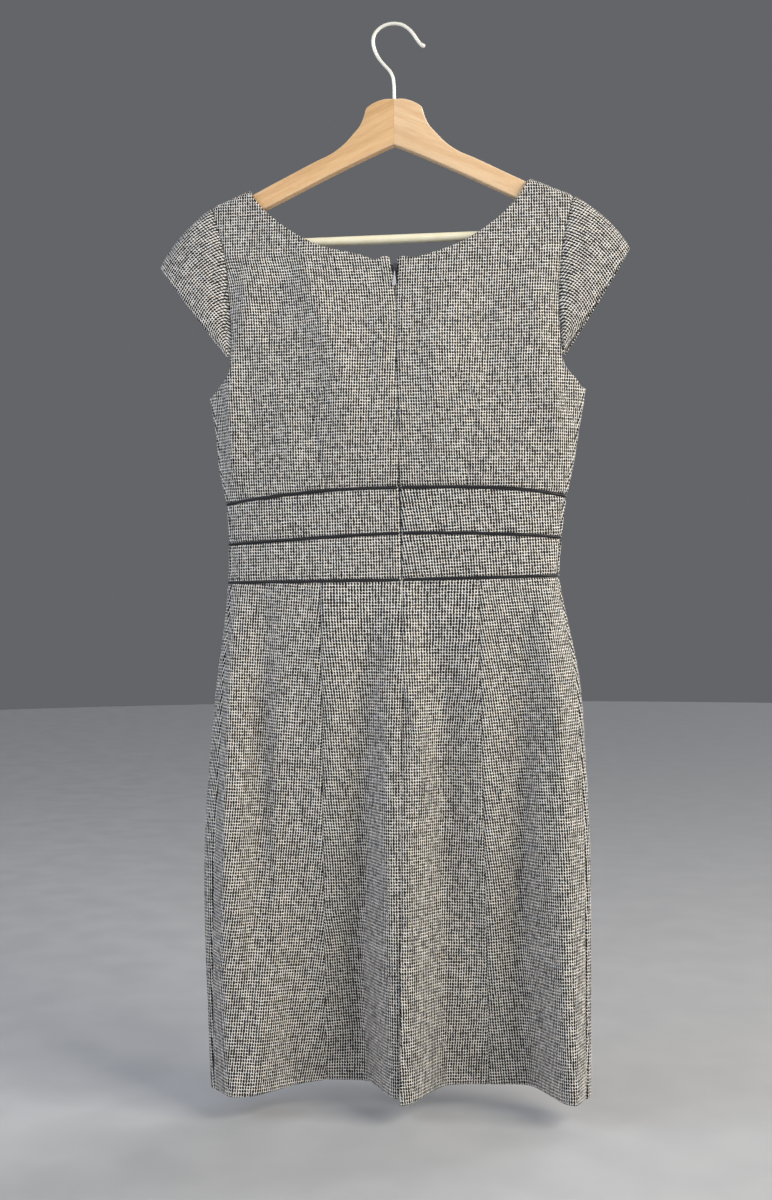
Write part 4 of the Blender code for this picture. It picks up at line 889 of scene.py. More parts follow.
wood = beech_grain()
ARM_SLOPE = math.radians(24.5)
BEECH = {side: finish_of(f"beech_{side}", wood, {"Light wood": light, "Dark wood": dark}, bump=0.12,
                         mapping=mapping, Coat_Weight=0.12, Coat_Roughness=0.35)
         for side, light, dark, mapping in (
             ("left", (0.82, 0.52, 0.26, 1), (0.64, 0.37, 0.16, 1), {"Rotation": (0, ARM_SLOPE, 0)}),
             ("right", (0.88, 0.62, 0.37, 1), (0.73, 0.46, 0.24, 1),
              {"Rotation": (0, -ARM_SLOPE, 0), "Location": (0.31, 0.13, 0.07)}))}
print("finishes", sorted(material.name for material in bpy.data.materials if material.use_nodes)[:20])

# %% [markdown]
# ## Cloth pieces
#
# Every panel becomes one piece that stands for its solid. The frame is told the size each was cut
# to, measured on its own UV map, and its true area.

# %% Declaring a piece of cloth
CAD_CLOTH = 1.8
SEAM_HALF = 0.05                        # half of what lies open between two sewn pieces
PIPING_HEIGHT, PIPING_DEPTH, PIPING_PROUD = 3.0, 2.6, 0.9
PIPING_CLEAR = PIPING_HEIGHT / 2 + 0.1
ZIP_HALF = 0.4                          # the zip lies open a little between the bands


def piping_clear(grid, zip_side):
    """Room for the piping along an edge. Beside the zip there is no piping, and the cloth meets."""
    far = edge_distances(skin(grid))[zip_side]
    return SEAM_HALF + (PIPING_CLEAR - SEAM_HALF) * ease((far - 1.7) / 1.2)


def declare(piece, nodes, uv=None, outer=None):
    """Ties a piece to the dress and hides the solids it stands for."""
    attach(piece, "dress")
    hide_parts(*nodes)
    if uv is not None:
        first = np.cross(outer[1:, :-1] - outer[:-1, :-1], outer[:-1, 1:] - outer[:-1, :-1])
        second = np.cross(outer[:-1, 1:] - outer[1:, 1:], outer[1:, :-1] - outer[1:, 1:])


def tweed_panel(name, node_name, grid, reference, edges, lift=0.0, weights=None, turn_up=False, turn=0.0,
                shift=0.0, lifted=False, cloth=TWEED):
    """A panel of tweed on the skin. turn, in degrees, is how its threads lean."""
    normals, points = outward(grid), skin(grid)
    lift = lift + edge_lift(points, edges, weights or {})
    outer = points + normals * lift[..., None]
    thick = np.full(lift.shape, TWEED_THICK)
    if turn_up:
        thick += HEM_EXTRA * (1 - ease((edge_distances(points)["bottom"] - HEM_TURN) / 1.5))
    if lifted:                           # on a bend, cloth that stands off is longer than the skin
        shift = shift - edge_distances(outer)["right"] + edge_distances(points)["right"]
    uv = grain(grid, reference, math.radians(turn), shift)
    piece = shell(name, outer, outer - normals * thick[..., None], uv, edges, cloth)
    declare(piece, [node_name], uv, outer)


# %% Back bodice
SHOULDER_EDGE_DROP = 0.2
DART_INTAKE = 5.0                       # cloth taken in on each side of a dart, at the band
DART_X = {"left": -74.0, "right": 71.5}
DART_TOP = {"left": -332.0, "right": -352.0}


def ends_at_shoulder(line):
    """The line, with its last part led up to the shoulder seam."""
    line = line.copy()
    line[:, 1] += (SHOULDER_EDGE_DROP - line[-1, 1]) * ease((DENSE - 0.85) / 0.15)
    return line


def shoulder_line(side, front=False):
    line = unroll(run([NECK[side][-1], ARMHOLE[side][0]], DENSE), front)
    line[:, 1] = SHOULDER_EDGE_DROP
    return line


def armhole_line(side, front=False):
    """Upwards, from the sleeve's heel to the shoulder."""
    return ends_at_shoulder(traced(ARMHOLE[side], front)[::-1])


def outer_lines(side, front=False):
    """Upwards: side seam, underarm and armhole."""
    seam = side_line(side, UNDERARM_Z, row_at_side(PIPING_ROWS["top"], side), front)
    return [seam[::-1], underarm_line(side, front)[::-1], armhole_line(side, front)]


def share_at(line, x):
    """The share of a line's length at which it passes x."""
    points = skin(line)
    order = np.argsort(points[:, 0])
    return float(np.interp(x, points[order, 0], shares_along(points)[order]))


def dart_lift(grid, share, top_z):
    """The crease of a waist dart along the column at a share of the width."""
    across, z = edge_distances(skin(grid))["left"], heights_of(grid)
    column = int(np.argmin(np.abs(across[0] / across[0, -1] - share)))
    away = across - across[:, column:column + 1]
    depth = 1.5 * ease((top_z - z) / 50)
    puff = 0.5 * np.exp(-(((z - top_z) / 26.0) ** 2)) * np.exp(-((away / 12.0) ** 2))
    lift = puff - depth * np.exp(-((away / 1.3) ** 2)) + 0.2 * depth * np.exp(-(((away - 5) / 4) ** 2))
    return lift, DART_INTAKE * np.clip((top_z - z) / 150, 0, 1.1) * np.sign(away)


def centre_reference(z):
    return unroll(np.stack([np.full(z.size, 2.5), z.ravel()], 1))[:, 0].reshape(z.shape)


def front_reference(z):
    return np.full(z.shape, 2.0)


for side in SIDES:
    row = PIPING_ROWS["top"]
    foot = side_ring(side, row_at_side(row, side))
    centre = [centre_line(NOTCH_BOTTOM_Z, row.z)[::-1], traced(NOTCH[side])[::-1]]
    top = [ends_at_shoulder(traced(NECK[side])), shoulder_line(side)]
    bottom = [row_line(row, centre_ring(row.z), float(foot))]
    share = share_at(bottom[0], DART_X[side])
    if side == "left":
        bottom, top, share = [bottom[0][::-1]], [line[::-1] for line in top[::-1]], 1 - share
        grid = patch(bottom, top, outer_lines(side), centre, cuts=[share])
        around = {"left": "seam", "right": "zip", "bottom": "piped", "top": "turned"}
    else:
        grid = patch(bottom, top, centre, outer_lines(side), cuts=[share])
        around = {"left": "zip", "right": "seam", "bottom": "piped", "top": "turned"}
    lift, taken = dart_lift(grid, share, DART_TOP[side])
    lean = np.clip(heights_of(grid) + 335, 0, 90) ** 2 / 900 * (1.0 if side == "left" else -0.2)
    grid = inset(grid, SEAM_HALF, SEAM_HALF, piping_clear(grid, "right" if side == "left" else "left"))
    tweed_panel(f"tweed_back_{side}", f"back_bodice_{side}", grid, centre_reference, around, lift,
                shift=taken + lean)


# %% Front bodice
def front_neck_line(side):
    """From centre front to the shoulder."""
    neck, point = NECK[side], NECK[side][-1]
    drop = CENTRE_FRONT_NECK_Z - neck[0][1]
    low = [(x, z + drop * ease((z - point[1]) / (neck[0][1] - point[1]))) for x, z in neck[1:]]
    return ends_at_shoulder(traced([(HANGER_X, CENTRE_FRONT_NECK_Z)] + low, front=True))


row = PIPING_ROWS["top"]
start = float(side_ring("right", row_at_side(row, "right")))
end = float(side_ring("left", row_at_side(row, "left"), front=True))
bottom = [row_line(row, start, end)]
top = [shoulder_line("right", True)[::-1], front_neck_line("right")[::-1], front_neck_line("left"),
       shoulder_line("left", True)]
darts = [share_at(bottom[0], DART_X[side] + 2) for side in ("right", "left")]
grid = patch(bottom, top, outer_lines("right", True), outer_lines("left", True), cuts=darts)
first, second = (dart_lift(grid, share, -392.0) for share in darts)
tweed_panel("tweed_front", "front_bodice", inset(grid, SEAM_HALF, SEAM_HALF, PIPING_CLEAR), front_reference,
            {"left": "seam", "right": "seam", "bottom": "piped", "top": "turned"}, first[0] + second[0],
            shift=first[1] + second[1])


# %% Waist bands
def band_ends(part, z):
    """The ring coordinates between which a part of a band lies at a height."""
    right, middle = float(side_ring("right", z)), centre_ring(z)
    left, left_front = (float(side_ring("left", z, front)) for front in (False, True))
    return {"left": (left, middle), "right": (middle, right), "front": (right, left_front)}[part]


def band(level, part, upper, lower):
    """A waist band between two piping rows: its left or right back piece, or its front piece."""
    bottom, top = (row_line(row, *band_ends(part, row.z)) for row in (lower, upper))
    left, right = (bottom[k] + (top[k] - bottom[k]) * DENSE[:, None] for k in (0, -1))
    grid = patch([bottom], [top], [left], [right])
    zip_side = {"left": "right", "right": "left", "front": None}[part]
    clear = piping_clear(grid, zip_side) if zip_side else PIPING_CLEAR
    open_half = [ZIP_HALF if side == zip_side else SEAM_HALF for side in SIDES]
    grid = inset(grid, *open_half, clear, clear)
    name = f"{level}_band_front" if part == "front" else f"{level}_band_back_{part}"
    around = {"left": "seam", "right": "seam", "bottom": "piped", "top": "piped"}
    if zip_side:
        around[zip_side] = "zip"
    lean = 0.0
    if part == "right":
        lean = 0.14 * np.exp(-edge_distances(skin(grid))["left"] / 38) * (heights_of(grid) - lower.z)
    tweed_panel(f"tweed_{name}", name, grid, centre_reference if zip_side else front_reference, around,
                turn={"left": 1.0, "right": 3.0, "front": 0.0}[part], shift=lean, cloth=BAND_TWEED)


for level, above, below in (("upper", "top", "middle"), ("lower", "middle", "bottom")):
    for part in ("left", "right", "front"):
        band(level, part, PIPING_ROWS[above], PIPING_ROWS[below])

# %% [markdown]
# ## The skirt
#
# The skirt's back is four panels: two at the centre, which part in a vent below the seam, and one
# on each side. Below the vent's top the right panel is folded on the centre line and laps over the
# left one, whose layer goes on underneath. The lap stands off a little and its corner droops.

# %% Skirt panels
VENT_TOP_Z, VENT_LAP, VENT_LIFT, VENT_FLARE, VENT_DROOP = -975.0, 34.0, 2.6, 7.0, 4.0
FAN = 6.5                               # how far the threads beside a seam lean towards it
SKIRT_EDGES = {"left": "seam", "right": "seam", "bottom": "turned", "top": "piped"}


def line_of(line):
    return lambda z: unroll(np.stack([x_on(line, z), z], 1))[:, 0]


def level_line(start, end, z):
    return at_heights(start + (end - start) * DENSE, z)


def skirt_grid(start_line, end_line, zip_side=None):
    """A skirt panel between two lines, each a function from heights to ring coordinates."""
    row = PIPING_ROWS["bottom"]
    edges = []
    for line in (start_line, end_line):
        top_z = float(row_z(row, math.sin(line(np.array([row.z]))[0] * math.pi / 2)))
        z = top_z + (HEM_Z - top_z) * DENSE[::-1]
        edges.append(at_heights(line(z), z))
    left, right = edges
    top = row_line(row, left[-1, 0], right[-1, 0])
    top[0], top[-1] = left[-1], right[-1]
    grid = patch([level_line(left[0, 0], right[0, 0], HEM_Z)], [top], [left], [right])
    return inset(grid, SEAM_HALF, SEAM_HALF, top=piping_clear(grid, zip_side) if zip_side else PIPING_CLEAR)


def vent_lift(points):
    """How far the vent's lap stands off the skin."""
    x, z = points[..., 0], points[..., 2]
    below = np.clip((VENT_TOP_Z - z) / (VENT_TOP_Z - HEM_Z), 0, 1)
    near = 1 - ease((x - VENT_LAP - 4) / 38)
    flare = VENT_FLARE * below**2 * np.exp(-np.maximum(x, 0) / 26)
    return (VENT_LIFT * ease((VENT_TOP_Z + 30 - z) / 30) + flare) * near


def above_vent(grid):
    """1 above the vent's top and 0 below it."""
    return ease((heights_of(grid) - VENT_TOP_Z) / 14)


def fan(grid):
    """Threads near the seams lean towards them above the hip, where the waist takes cloth in."""
    far = edge_distances(skin(grid))
    half = (far["left"] + far["right"]) / 2
    return -FAN * ease((heights_of(grid) + 770) / 180) * (far["left"] - half) / half


def middle_of(start_line, end_line):
    return lambda z: ((start_line(z.ravel()) + end_line(z.ravel())) / 2).reshape(z.shape)


def skirt_panel(part, start_line, end_line, turn):
    """A panel beside the centre ones, or the front, cut on its own middle line."""
    reference = middle_of(start_line, end_line) if "side" in part else front_reference
    node_name = "skirt_" + part.replace("side", "side_back")
    tweed_panel("tweed_skirt_" + part, node_name, skirt_grid(start_line, end_line), reference, SKIRT_EDGES,
                turn_up=True, turn=turn)


centre, princess = line_of(CENTRE_BACK), {side: line_of(PRINCESS[side]) for side in SIDES}
left_side, right_side = (lambda z: side_ring("left", z)), (lambda z: side_ring("right", z))
left_grid = skirt_grid(princess["left"], centre, "right")
tweed_panel("tweed_skirt_centre_left", "skirt_centre_back_left", left_grid, centre_reference, SKIRT_EDGES,
            weights={"right": above_vent(left_grid)}, turn_up=True, shift=fan(left_grid))
lap_grid = skirt_grid(centre, princess["right"], "left")
lap = vent_lift(skin(lap_grid))
lap_grid[..., 1] += VENT_DROOP * np.clip((lap - VENT_LIFT) / VENT_FLARE, 0, 1)
tweed_panel("tweed_skirt_centre_right", "skirt_centre_back_right", lap_grid, centre_reference, SKIRT_EDGES,
            lap, weights={"left": above_vent(lap_grid)}, turn_up=True, shift=fan(lap_grid), lifted=True)
skirt_panel("side_left", left_side, princess["left"], -3.5)
skirt_panel("side_right", princess["right"], right_side, 3.0)
skirt_panel("front", right_side, lambda z: side_ring("left", z, True), 0.0)

# %% The layer under the vent
z = VENT_TOP_Z + VENT_DROOP + (HEM_Z - VENT_TOP_Z - VENT_DROOP) * DENSE[::-1]
inner_edge = at_heights(centre(z), z)
outer_edge = at_heights(centre(z) + 0.4 * (princess["right"](z) - centre(z)), z)
bottom, top = (level_line(inner_edge[k, 0], outer_edge[k, 0], z[k]) for k in (0, -1))
under_grid = inset(patch([bottom], [top], [inner_edge], [outer_edge]), SEAM_HALF)
tweed_panel("tweed_vent_underlap", "vent_underlap", under_grid, centre_reference,
            {"left": "joined", "right": "turned", "bottom": "turned", "top": "turned"}, turn_up=True)

# %% [markdown]
# ## Cap sleeves
#
# A cap sleeve is a short piece over the point of the shoulder. It is sewn to the armhole, and its
# hem is a curve from under the arm, over the shoulder, to under the arm again. It is cut with its
# threads nearly along the shoulder line, so its check stands on its corner beside the bodice.

# %% Sleeves
Sleeve = namedtuple("Sleeve", "tip_x tip_z heel_x heel_z")
SLEEVES = {"left": Sleeve(-258.3, -249.4, -180.6, -353.0), "right": Sleeve(242.5, -247.9, 174.6, -354.2)}
SLEEVE_CROWN, SLEEVE_PUFF, SLEEVE_GAP = 5.5, 3.0, 0.12
SLEEVE_TURN = math.radians(6.0)         # its threads lie this far off the shoulder line


def sleeve_rise(across, up, face, side):
    """Soft creases that run from the armhole's head to the hem, and the cloth's unevenness."""
    fan = sum(depth * np.exp(-(((up - place) / width) ** 2)) for depth, place, width in
              ((1.1, 0.78, 0.07), (-0.9, 0.60, 0.08), (0.8, 0.42, 0.06), (-0.5, 0.26, 0.05)))
    turn = 1 if side == "left" else -1
    small = 0.25 * np.sin(11 * up + 5 * across + face + turn) * np.sin(4 + 9 * across - 3 * up)
    return (fan * ease(across / 0.3) * (1 - 0.5 * across) + small) * (1 - np.exp(-((up - 1) / 0.08) ** 2))


def sleeve_grain(grid, top, tip, crown):
    """UV in metres: down along the shoulder line, and from its ridge to the back or the front."""
    along = (grid - top) @ unit(tip - top)
    step = np.linalg.norm(np.diff(grid, axis=1), axis=-1) ** 2 - np.diff(along, axis=1) ** 2
    away = np.concatenate([np.zeros((len(grid), 1)), np.cumsum(np.sqrt(np.maximum(step, 0)), 1)], 1)
    return turned(away - away[:, crown:crown + 1], -along, SLEEVE_TURN)


def cap_sleeve(side):
    shape = SLEEVES[side]
    lines = [armhole_line(side, front)[::-1] for front in (False, True)]
    shares = graded([length_of(lines[0])])
    paths = [placed([line], shares) for line in lines]
    for path in paths:
        path[0, 1] = 0.0
    armhole, seam_normals = (np.concatenate([part(paths[0])[::-1], part(paths[1])[1:]])
                             for part in (skin, outward))
    crown = len(shares) - 1
    seam_normals[crown] = (0, 0, 1)
    up = np.concatenate([(1 - shares)[::-1], (1 - shares)[1:]])
    face = np.concatenate([-np.ones(crown), [0], np.ones(crown)])
    hem = np.zeros_like(armhole)
    hem[:, 0] = shape.heel_x + (shape.tip_x - shape.heel_x) * up
    hem[:, 2] = shape.heel_z + (shape.tip_z - shape.heel_z) * up
    hem[:, 1] = face * np.where(face < 0, -armhole[0, 1], armhole[-1, 1]) * np.sqrt(1 - up**2)
    across = graded([np.linalg.norm(hem[crown] - armhole[crown])])[:, None, None]
    grid = (1 - across) * armhole + across * hem
    swell = (4 * across * (1 - across))[..., 0]
    ridge = hem[crown] - armhole[crown]
    rise = np.array([-ridge[2], 0, ridge[0]]) / np.hypot(ridge[0], ridge[2])
    grid += (SLEEVE_CROWN * swell * up**2)[..., None] * (rise if rise[2] > 0 else -rise)
    grid[..., 1] += face * SLEEVE_PUFF * swell * np.sin(np.pi * np.clip(up, 0, 1)) ** 0.5
    grid[0] += unit(grid[1] - grid[0]) * SLEEVE_GAP
    uv = sleeve_grain(grid, armhole[crown], hem[crown], crown)
    small = sleeve_rise(across[..., 0], up[None, :], face[None, :], side)
    if side == "right":
        grid, seam_normals, uv, small = grid[:, ::-1], seam_normals[::-1], uv[:, ::-1], small[:, ::-1]
    out = unit(np.cross(np.gradient(grid, axis=1), np.gradient(grid, axis=0)))
    blend = ease(across / 0.1)
    out = unit((1 - blend) * seam_normals + blend * out)
    around = {"bottom": "seam", "top": "turned", "left": "joined", "right": "joined"}
    outer = grid + out * (small + edge_lift(grid, around, {}))[..., None]
    thick = TWEED_THICK + 0.5 * (1 - ease((edge_distances(grid)["top"] - 14) / 1.5))
    room = np.abs(grid[..., 1] - grid[:, crown:crown + 1, 1])
    thick = np.minimum(thick, 0.4 + 0.75 * room)      # the fold over the shoulder is narrow
    piece = shell(f"tweed_sleeve_{side}", outer, outer - out * thick[..., None], uv, around, SLEEVE_TWEED)
    declare(piece, [f"cap_sleeve_{side}"], uv, outer)


for side in SIDES:
    cap_sleeve(side)

# %% [markdown]
# ## Piping
#
# Three rows of satin piping go round the waist, from one side of the zip to the other. Each is a
# flattened round swept along its row, and it ends in a small turned-in end beside the zip.

# %% Piping rows
PIPING_END = 2.8
PIPING_SIDES = 16
END_MOVES, END_SCALES = np.array([1.1, 0.8, 0.3]), np.array([0.35, 0.75, 0.95])


def ringed(name, rings, uv, material):
    """A closed mesh of faces between rings of points, capped at both ends."""
    index = np.arange(len(rings) * len(rings[0])).reshape(len(rings), -1)
    a, b, c, d = index[:-1], index[1:], np.roll(index[1:], -1, 1), np.roll(index[:-1], -1, 1)
    faces = np.stack([a, b, c, d], -1).reshape(-1, 4).tolist() + [index[0].tolist(), index[-1].tolist()]
    piece = mesh_piece(name, np.concatenate(rings) * MM, faces, uv, material)
    face_out(piece)
    return piece


def face_out(piece):
    """Turns all faces of a closed mesh outwards."""
    bm = bmesh.new()
    bm.from_mesh(piece.data)
    bmesh.ops.recalc_face_normals(bm, faces=bm.faces)
    bm.to_mesh(piece.data)
    bm.free()


def flat_round(turns, half_x, half_y, square_x, square_y):
    """Points round a flattened circle, squarer as its powers fall below 1."""
    cos, sin = np.cos(turns), np.sin(turns)
    return (np.sign(cos) * np.abs(cos) ** square_x * half_x, np.sign(sin) * np.abs(sin) ** square_y * half_y)


def piping(name, row):
    spacing = np.linalg.norm(skin((0.5, 330.0)) - skin((0.0, 330.0))) / 0.5
    start, end = centre_ring(row.z) + PIPING_END / spacing, 4 + centre_ring(row.z) - PIPING_END / spacing
    dense = row_line(row, start, end)
    stations = placed([dense], np.linspace(0, 1, round(length_of(dense) / CELL)))
    points, normals = skin(stations), outward(stations)
    far = shares_along(points) * length_of(dense)
    points = points + normals * (PIPING_PROUD - PIPING_DEPTH / 2 - 0.15 + 0.12 * np.sin(far / 19.0))[:, None]
    points[:, 2] += 0.22 * np.sin(far / 21.0) + 0.10 * np.sin(far / 6.7)
    along = unit(np.gradient(points, axis=0))
    rise = np.cross(normals, along)
    order = [0, 0, 0] + list(range(len(points))) + [len(points) - 1] * 3
    moves = np.concatenate([-END_MOVES, np.zeros(len(points)), END_MOVES[::-1]])
    narrow = 1 - 0.22 * np.exp(-((np.abs(np.sin(np.pi * stations[:, 0] / 2)) - 1) / 0.16) ** 2)
    scales = np.concatenate([END_SCALES, narrow * (1 + 0.05 * np.sin(far / 13.0)), END_SCALES[::-1]])
    turns = np.linspace(0, 2 * math.pi, PIPING_SIDES, endpoint=False)
    high, deep = flat_round(turns, PIPING_HEIGHT / 2, PIPING_DEPTH / 2, 0.75, 0.85)
    rings = [points[k] + along[k] * move + scale * (rise[k] * high[:, None] + normals[k] * deep[:, None])
             for k, move, scale in zip(order, moves, scales)]
    round_uv = turns * 1.6 * MM
    uv = [np.stack([round_uv, np.full(PIPING_SIDES, (far[k] + move) * MM)], 1)
          for k, move in zip(order, moves)]
    declare(ringed("satin_" + name, rings, np.concatenate(uv), SATIN), [name])
    print(name, round(float(far[-1])), "mm long")


for name, row in PIPING_ROWS.items():
    piping(f"piping_{name}", row)

# %% [markdown]
# ## Zip
#
# An invisible zip hides its coil behind the seam. Its tape and its first teeth show in the small V
# at the neck, where the slider and pull tab are. The tape is a thin woven strip. The coil is a
# Geometry Nodes tree: one tooth, set on every point of a guide that runs down behind the seam.

# %% Zip tape
ZIP_TAPE_HALF, ZIP_TAPE, ZIP_GAP, TAPE_END_Z = 9.5, 0.9, 1.2, -735.0


def zip_middle(z):
    return x_on(CENTRE_BACK, np.minimum(z, NOTCH_BOTTOM_Z)) - ease((z - NOTCH_BOTTOM_Z) / 30)


z = np.linspace(TAPE_END_Z, -260.0, 150)
columns = np.array([-1, -0.93, -0.7, -0.35, -0.12, -0.04, 0.04, 0.12, 0.35, 0.7, 0.93, 1.0])
spots = np.stack(np.broadcast_arrays(zip_middle(z)[:, None] + ZIP_TAPE_HALF * columns, z[:, None]), -1)
grid = unroll(spots.reshape(-1, 2)).reshape(spots.shape)
normals, points = outward(grid), skin(grid)
lift = -CAD_CLOTH - ZIP_GAP - 0.25 * (np.abs(columns) < 0.1) - 0.15 * (np.abs(columns) > 0.95)
outer = points + normals * lift[..., None]
uv = np.stack(np.broadcast_arrays(ZIP_TAPE_HALF * columns, z[:, None]), -1) * MM
around = dict.fromkeys(("left", "right", "bottom", "top"), "turned")
piece = shell("zip_tape_woven", outer, outer - normals * (ZIP_TAPE - 0.25), uv, around, TAPE)
declare(piece, ["zip_tape"], uv, outer)


# %% Geometry Nodes helpers
def geometry_tree(name, size_names):
    """A geometry tree that takes a guide, named sizes and a finish. Returns its input sockets too."""
    tree = bpy.data.node_groups.new(name, "GeometryNodeTree")
    kinds = {"Guide": "Geometry", **dict.fromkeys(size_names, "Float"), "Finish": "Material"}
    for label, kind in kinds.items():
        tree.interface.new_socket(label, in_out="INPUT", socket_type="NodeSocket" + kind)
    tree.interface.new_socket("Made", in_out="OUTPUT", socket_type="NodeSocketGeometry")
    return tree, tree.nodes.new("NodeGroupInput").outputs


def chain(tree, geometry, *steps):
    """Leads a geometry socket through nodes, each given as its kind and its other inputs."""
    for kind, inputs in steps:
        made = node(tree, "GeometryNode" + kind, inputs)
        tree.links.new(geometry, made.inputs[0])
        geometry = made.outputs[0]
    return geometry


def grown(name, points, edges, tree, geometry, finish, slot, **sizes):
    """The plain mesh that a geometry tree makes on a guide of points and edges, as a piece."""
    entrance = next(made for made in tree.nodes if made.bl_idname == "NodeGroupInput")
    ended = chain(tree, geometry, ("RealizeInstances", {}), ("SetShadeSmooth", {}),
                  ("SetMaterial", {"Material": entrance.outputs["Finish"]}))
    node(tree, "NodeGroupOutput", {0: ended})
    guide = bpy.data.meshes.new(name + "_guide")
    guide.from_pydata((np.asarray(points) * MM).tolist(), edges, [])
    carrier = added(name + "_guide", guide)
    modifier = carrier.modifiers.new("grow", "NODES")
    modifier.node_group = tree
    values = {"Finish": finish, **{label: size * MM for label, size in sizes.items()}}
    for socket in tree.interface.items_tree:
        if socket.in_out == "INPUT" and socket.name in values:
            modifier[socket.identifier] = values[socket.name]
    bpy.context.view_layer.update()
    mesh = bpy.data.meshes.new_from_object(carrier.evaluated_get(bpy.context.evaluated_depsgraph_get()))
    mesh.name = name
    bpy.data.objects.remove(carrier)
    piece = added(name, mesh)
    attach(piece, "dress")
    print(name, len(mesh.polygons), "faces")


# %% Zip teeth
TOOTH_PITCH = 1.5
tree, given = geometry_tree("zip_coil", ["Width", "Thickness"])
ball = node(tree, "GeometryNodeMeshUVSphere", {"Segments": 10, "Rings": 6, "Radius": 0.5})
size = node(tree, "ShaderNodeCombineXYZ", {0: given["Width"], 1: given["Thickness"], 2: given["Thickness"]})
tooth = chain(tree, ball.outputs[0], ("Transform", {"Scale": size.outputs[0]}))
teeth = chain(tree, given["Guide"], ("MeshToPoints", {}), ("InstanceOnPoints", {"Instance": tooth}))
z = np.arange(-269.5, TAPE_END_Z + 4, -TOOTH_PITCH)
places = unroll(np.stack([zip_middle(z), z], 1))
points = skin(places) - outward(places) * (CAD_CLOTH + ZIP_GAP - 0.52)
grown("zip_teeth", points, [], tree, teeth, COIL, "satin", Width=3.0, Thickness=0.95)

# %% [markdown]
# ## Hem stitches
#
# The hem is caught up inside with a herringbone stitch, which crosses to and fro over the allowance's edge.
# One zigzag guide round the whole hem is enough: a tree sweeps a thread along it.

# %% The hem's thread
STITCH_PITCH = 4.5
tree, given = geometry_tree("sewing_thread", ["Thread"])
circle = node(tree, "GeometryNodeCurvePrimitiveCircle", {"Resolution": 6})
tree.links.new(given["Thread"], circle.inputs["Radius"])
sweep = {1: circle.outputs[0], "Fill Caps": True}
swept = chain(tree, given["Guide"], ("MeshToCurve", {}), ("CurveToMesh", sweep))
first, last = (girth_at(np.array([turn]), np.array([HEM_Z + HEM_TURN]))[0] for turn in (0.0, 4.0))
count = round((last - first) / STITCH_PITCH)
inner = np.arange(count) % 2 == 1       # every other point is on the single cloth
rings = 0.26 + 3.68 * np.linspace(0, 1, count)
spots = at_heights(rings, HEM_Z + HEM_TURN + np.where(inner, 3.2, -2.6))
inside = np.where(inner, TWEED_THICK + 0.25, TWEED_THICK + HEM_EXTRA + 0.25)
path = skin(spots) - outward(spots) * inside[:, None]
grown("hem_stitches", path, [(k, k + 1) for k in range(count - 1)], tree, swept, THREAD, "tweed", Thread=0.22)

# %% [markdown]
# ## Slider and pull tab
#
# The slider is enamelled dark to match the tape, so it keeps its solid and gets that finish. The
# pull tab is a bare metal drop: a narrow neck under its eye that widens to a round end. It turns
# on the slider's pin, and rides on its own body.

# %% Pull tab
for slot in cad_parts["zip_slider"].material_slots:
    slot.material = ENAMEL
low, high = (np.array(corner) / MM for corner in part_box("zip_pull"))
PIVOT_Z, EYE_HALF = -264.5, 1.35
TAB_LENGTH, TAB_THICK, TAB_SIDES, TAB_RINGS = 19.6, 0.42, 20, 34
pivot = np.array([(low[0] + high[0]) / 2, low[1] + EYE_HALF, PIVOT_Z])
lean = math.atan2(high[1] - 0.6 - pivot[1], TAB_LENGTH) if high[1] - 0.6 > pivot[1] + EYE_HALF else 0.0
TAB_HALF = [(0.0, 0.80), (2.5, 0.75), (4.5, 0.52), (7.5, 0.58), (10.5, 1.00), (13.5, 1.42), (16.0, 1.58),
            (18.0, 1.40), (19.1, 0.95), (19.5, 0.35)]
turns = np.linspace(0, 2 * math.pi, TAB_SIDES, endpoint=False)
rings = []
for down, half in run(TAB_HALF, np.linspace(0, 1, TAB_RINGS)):
    thick = TAB_THICK + 0.5 * max(0, 1 - down / 3)    # thicker about its eye
    rings.append(np.stack([*flat_round(turns, half, thick, 0.7, 0.5), np.full(TAB_SIDES, -down)], 1))
flat_uv = np.concatenate(rings)[:, [0, 2]] * MM
rings = [ring @ np.array(Matrix.Rotation(-lean, 3, "X")).T + pivot for ring in rings]
tab = ringed("nickel_pull_tab", rings, flat_uv, NICKEL)
tab.data.materials.append(ENAMEL)       # its eye sits in the slider's bridge, enamelled as that is
for face in tab.data.polygons:
    face.material_index = int(face.center.z / MM > PIVOT_Z - 4.2)
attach(tab, "pull_tab")
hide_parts("zip_pull")
print("pull tab turns at", pivot.round(2), "and leans", round(math.degrees(lean), 1), "degrees")

# %% [markdown]
# ## The hanger
#
# The hanger is two flat planks of beech mitred at the middle, with narrow rounded edges where they
# show. Its outline is drawn once, swept back over its thickness through a quarter round at each
# edge, and mirrored. The bar is a plain lacquered dowel, and the hook is bent steel wire.

# %% Wood
ARM_STATIONS = 260
ARM_OUTLINE = [(11.5, -82.4), (19.0, -84.7), (25.4, -88.0), (28.9, -90.6), (30.3, -93.0), (31.1, -96.4),
               (33.0, -102.2), (37.0, -110.2), (43.5, -117.8), (53.0, -127.9), (67.0, -138.2),
               (83.0, -145.6), (132.0, -169.6), (158.0, -181.3), (183.0, -191.6), (192.0, -196.8),
               (198.5, -205.0), (202.5, -216.0), (203.5, -229.0), (200.0, -238.5), (192.0, -241.5),
               (184.5, -236.0), (177.0, -222.0), (167.0, -208.6), (136.0, -193.4), (18.0, -137.7),
               (6.0, -132.6)]
HANGER_HALF, MEETING_GAP = 6.0, 0.06
EDGE_ROUND, HIDDEN_ROUND = 1.5, 4.0     # where it shows, and under the shoulder
EDGE_HIGHLIGHT = [0.0, 1.0, 1.0, 1.0, 0.6, 0.0]  # painted highlight: how pale each ring of the rounded edge is painted, for the light it catches
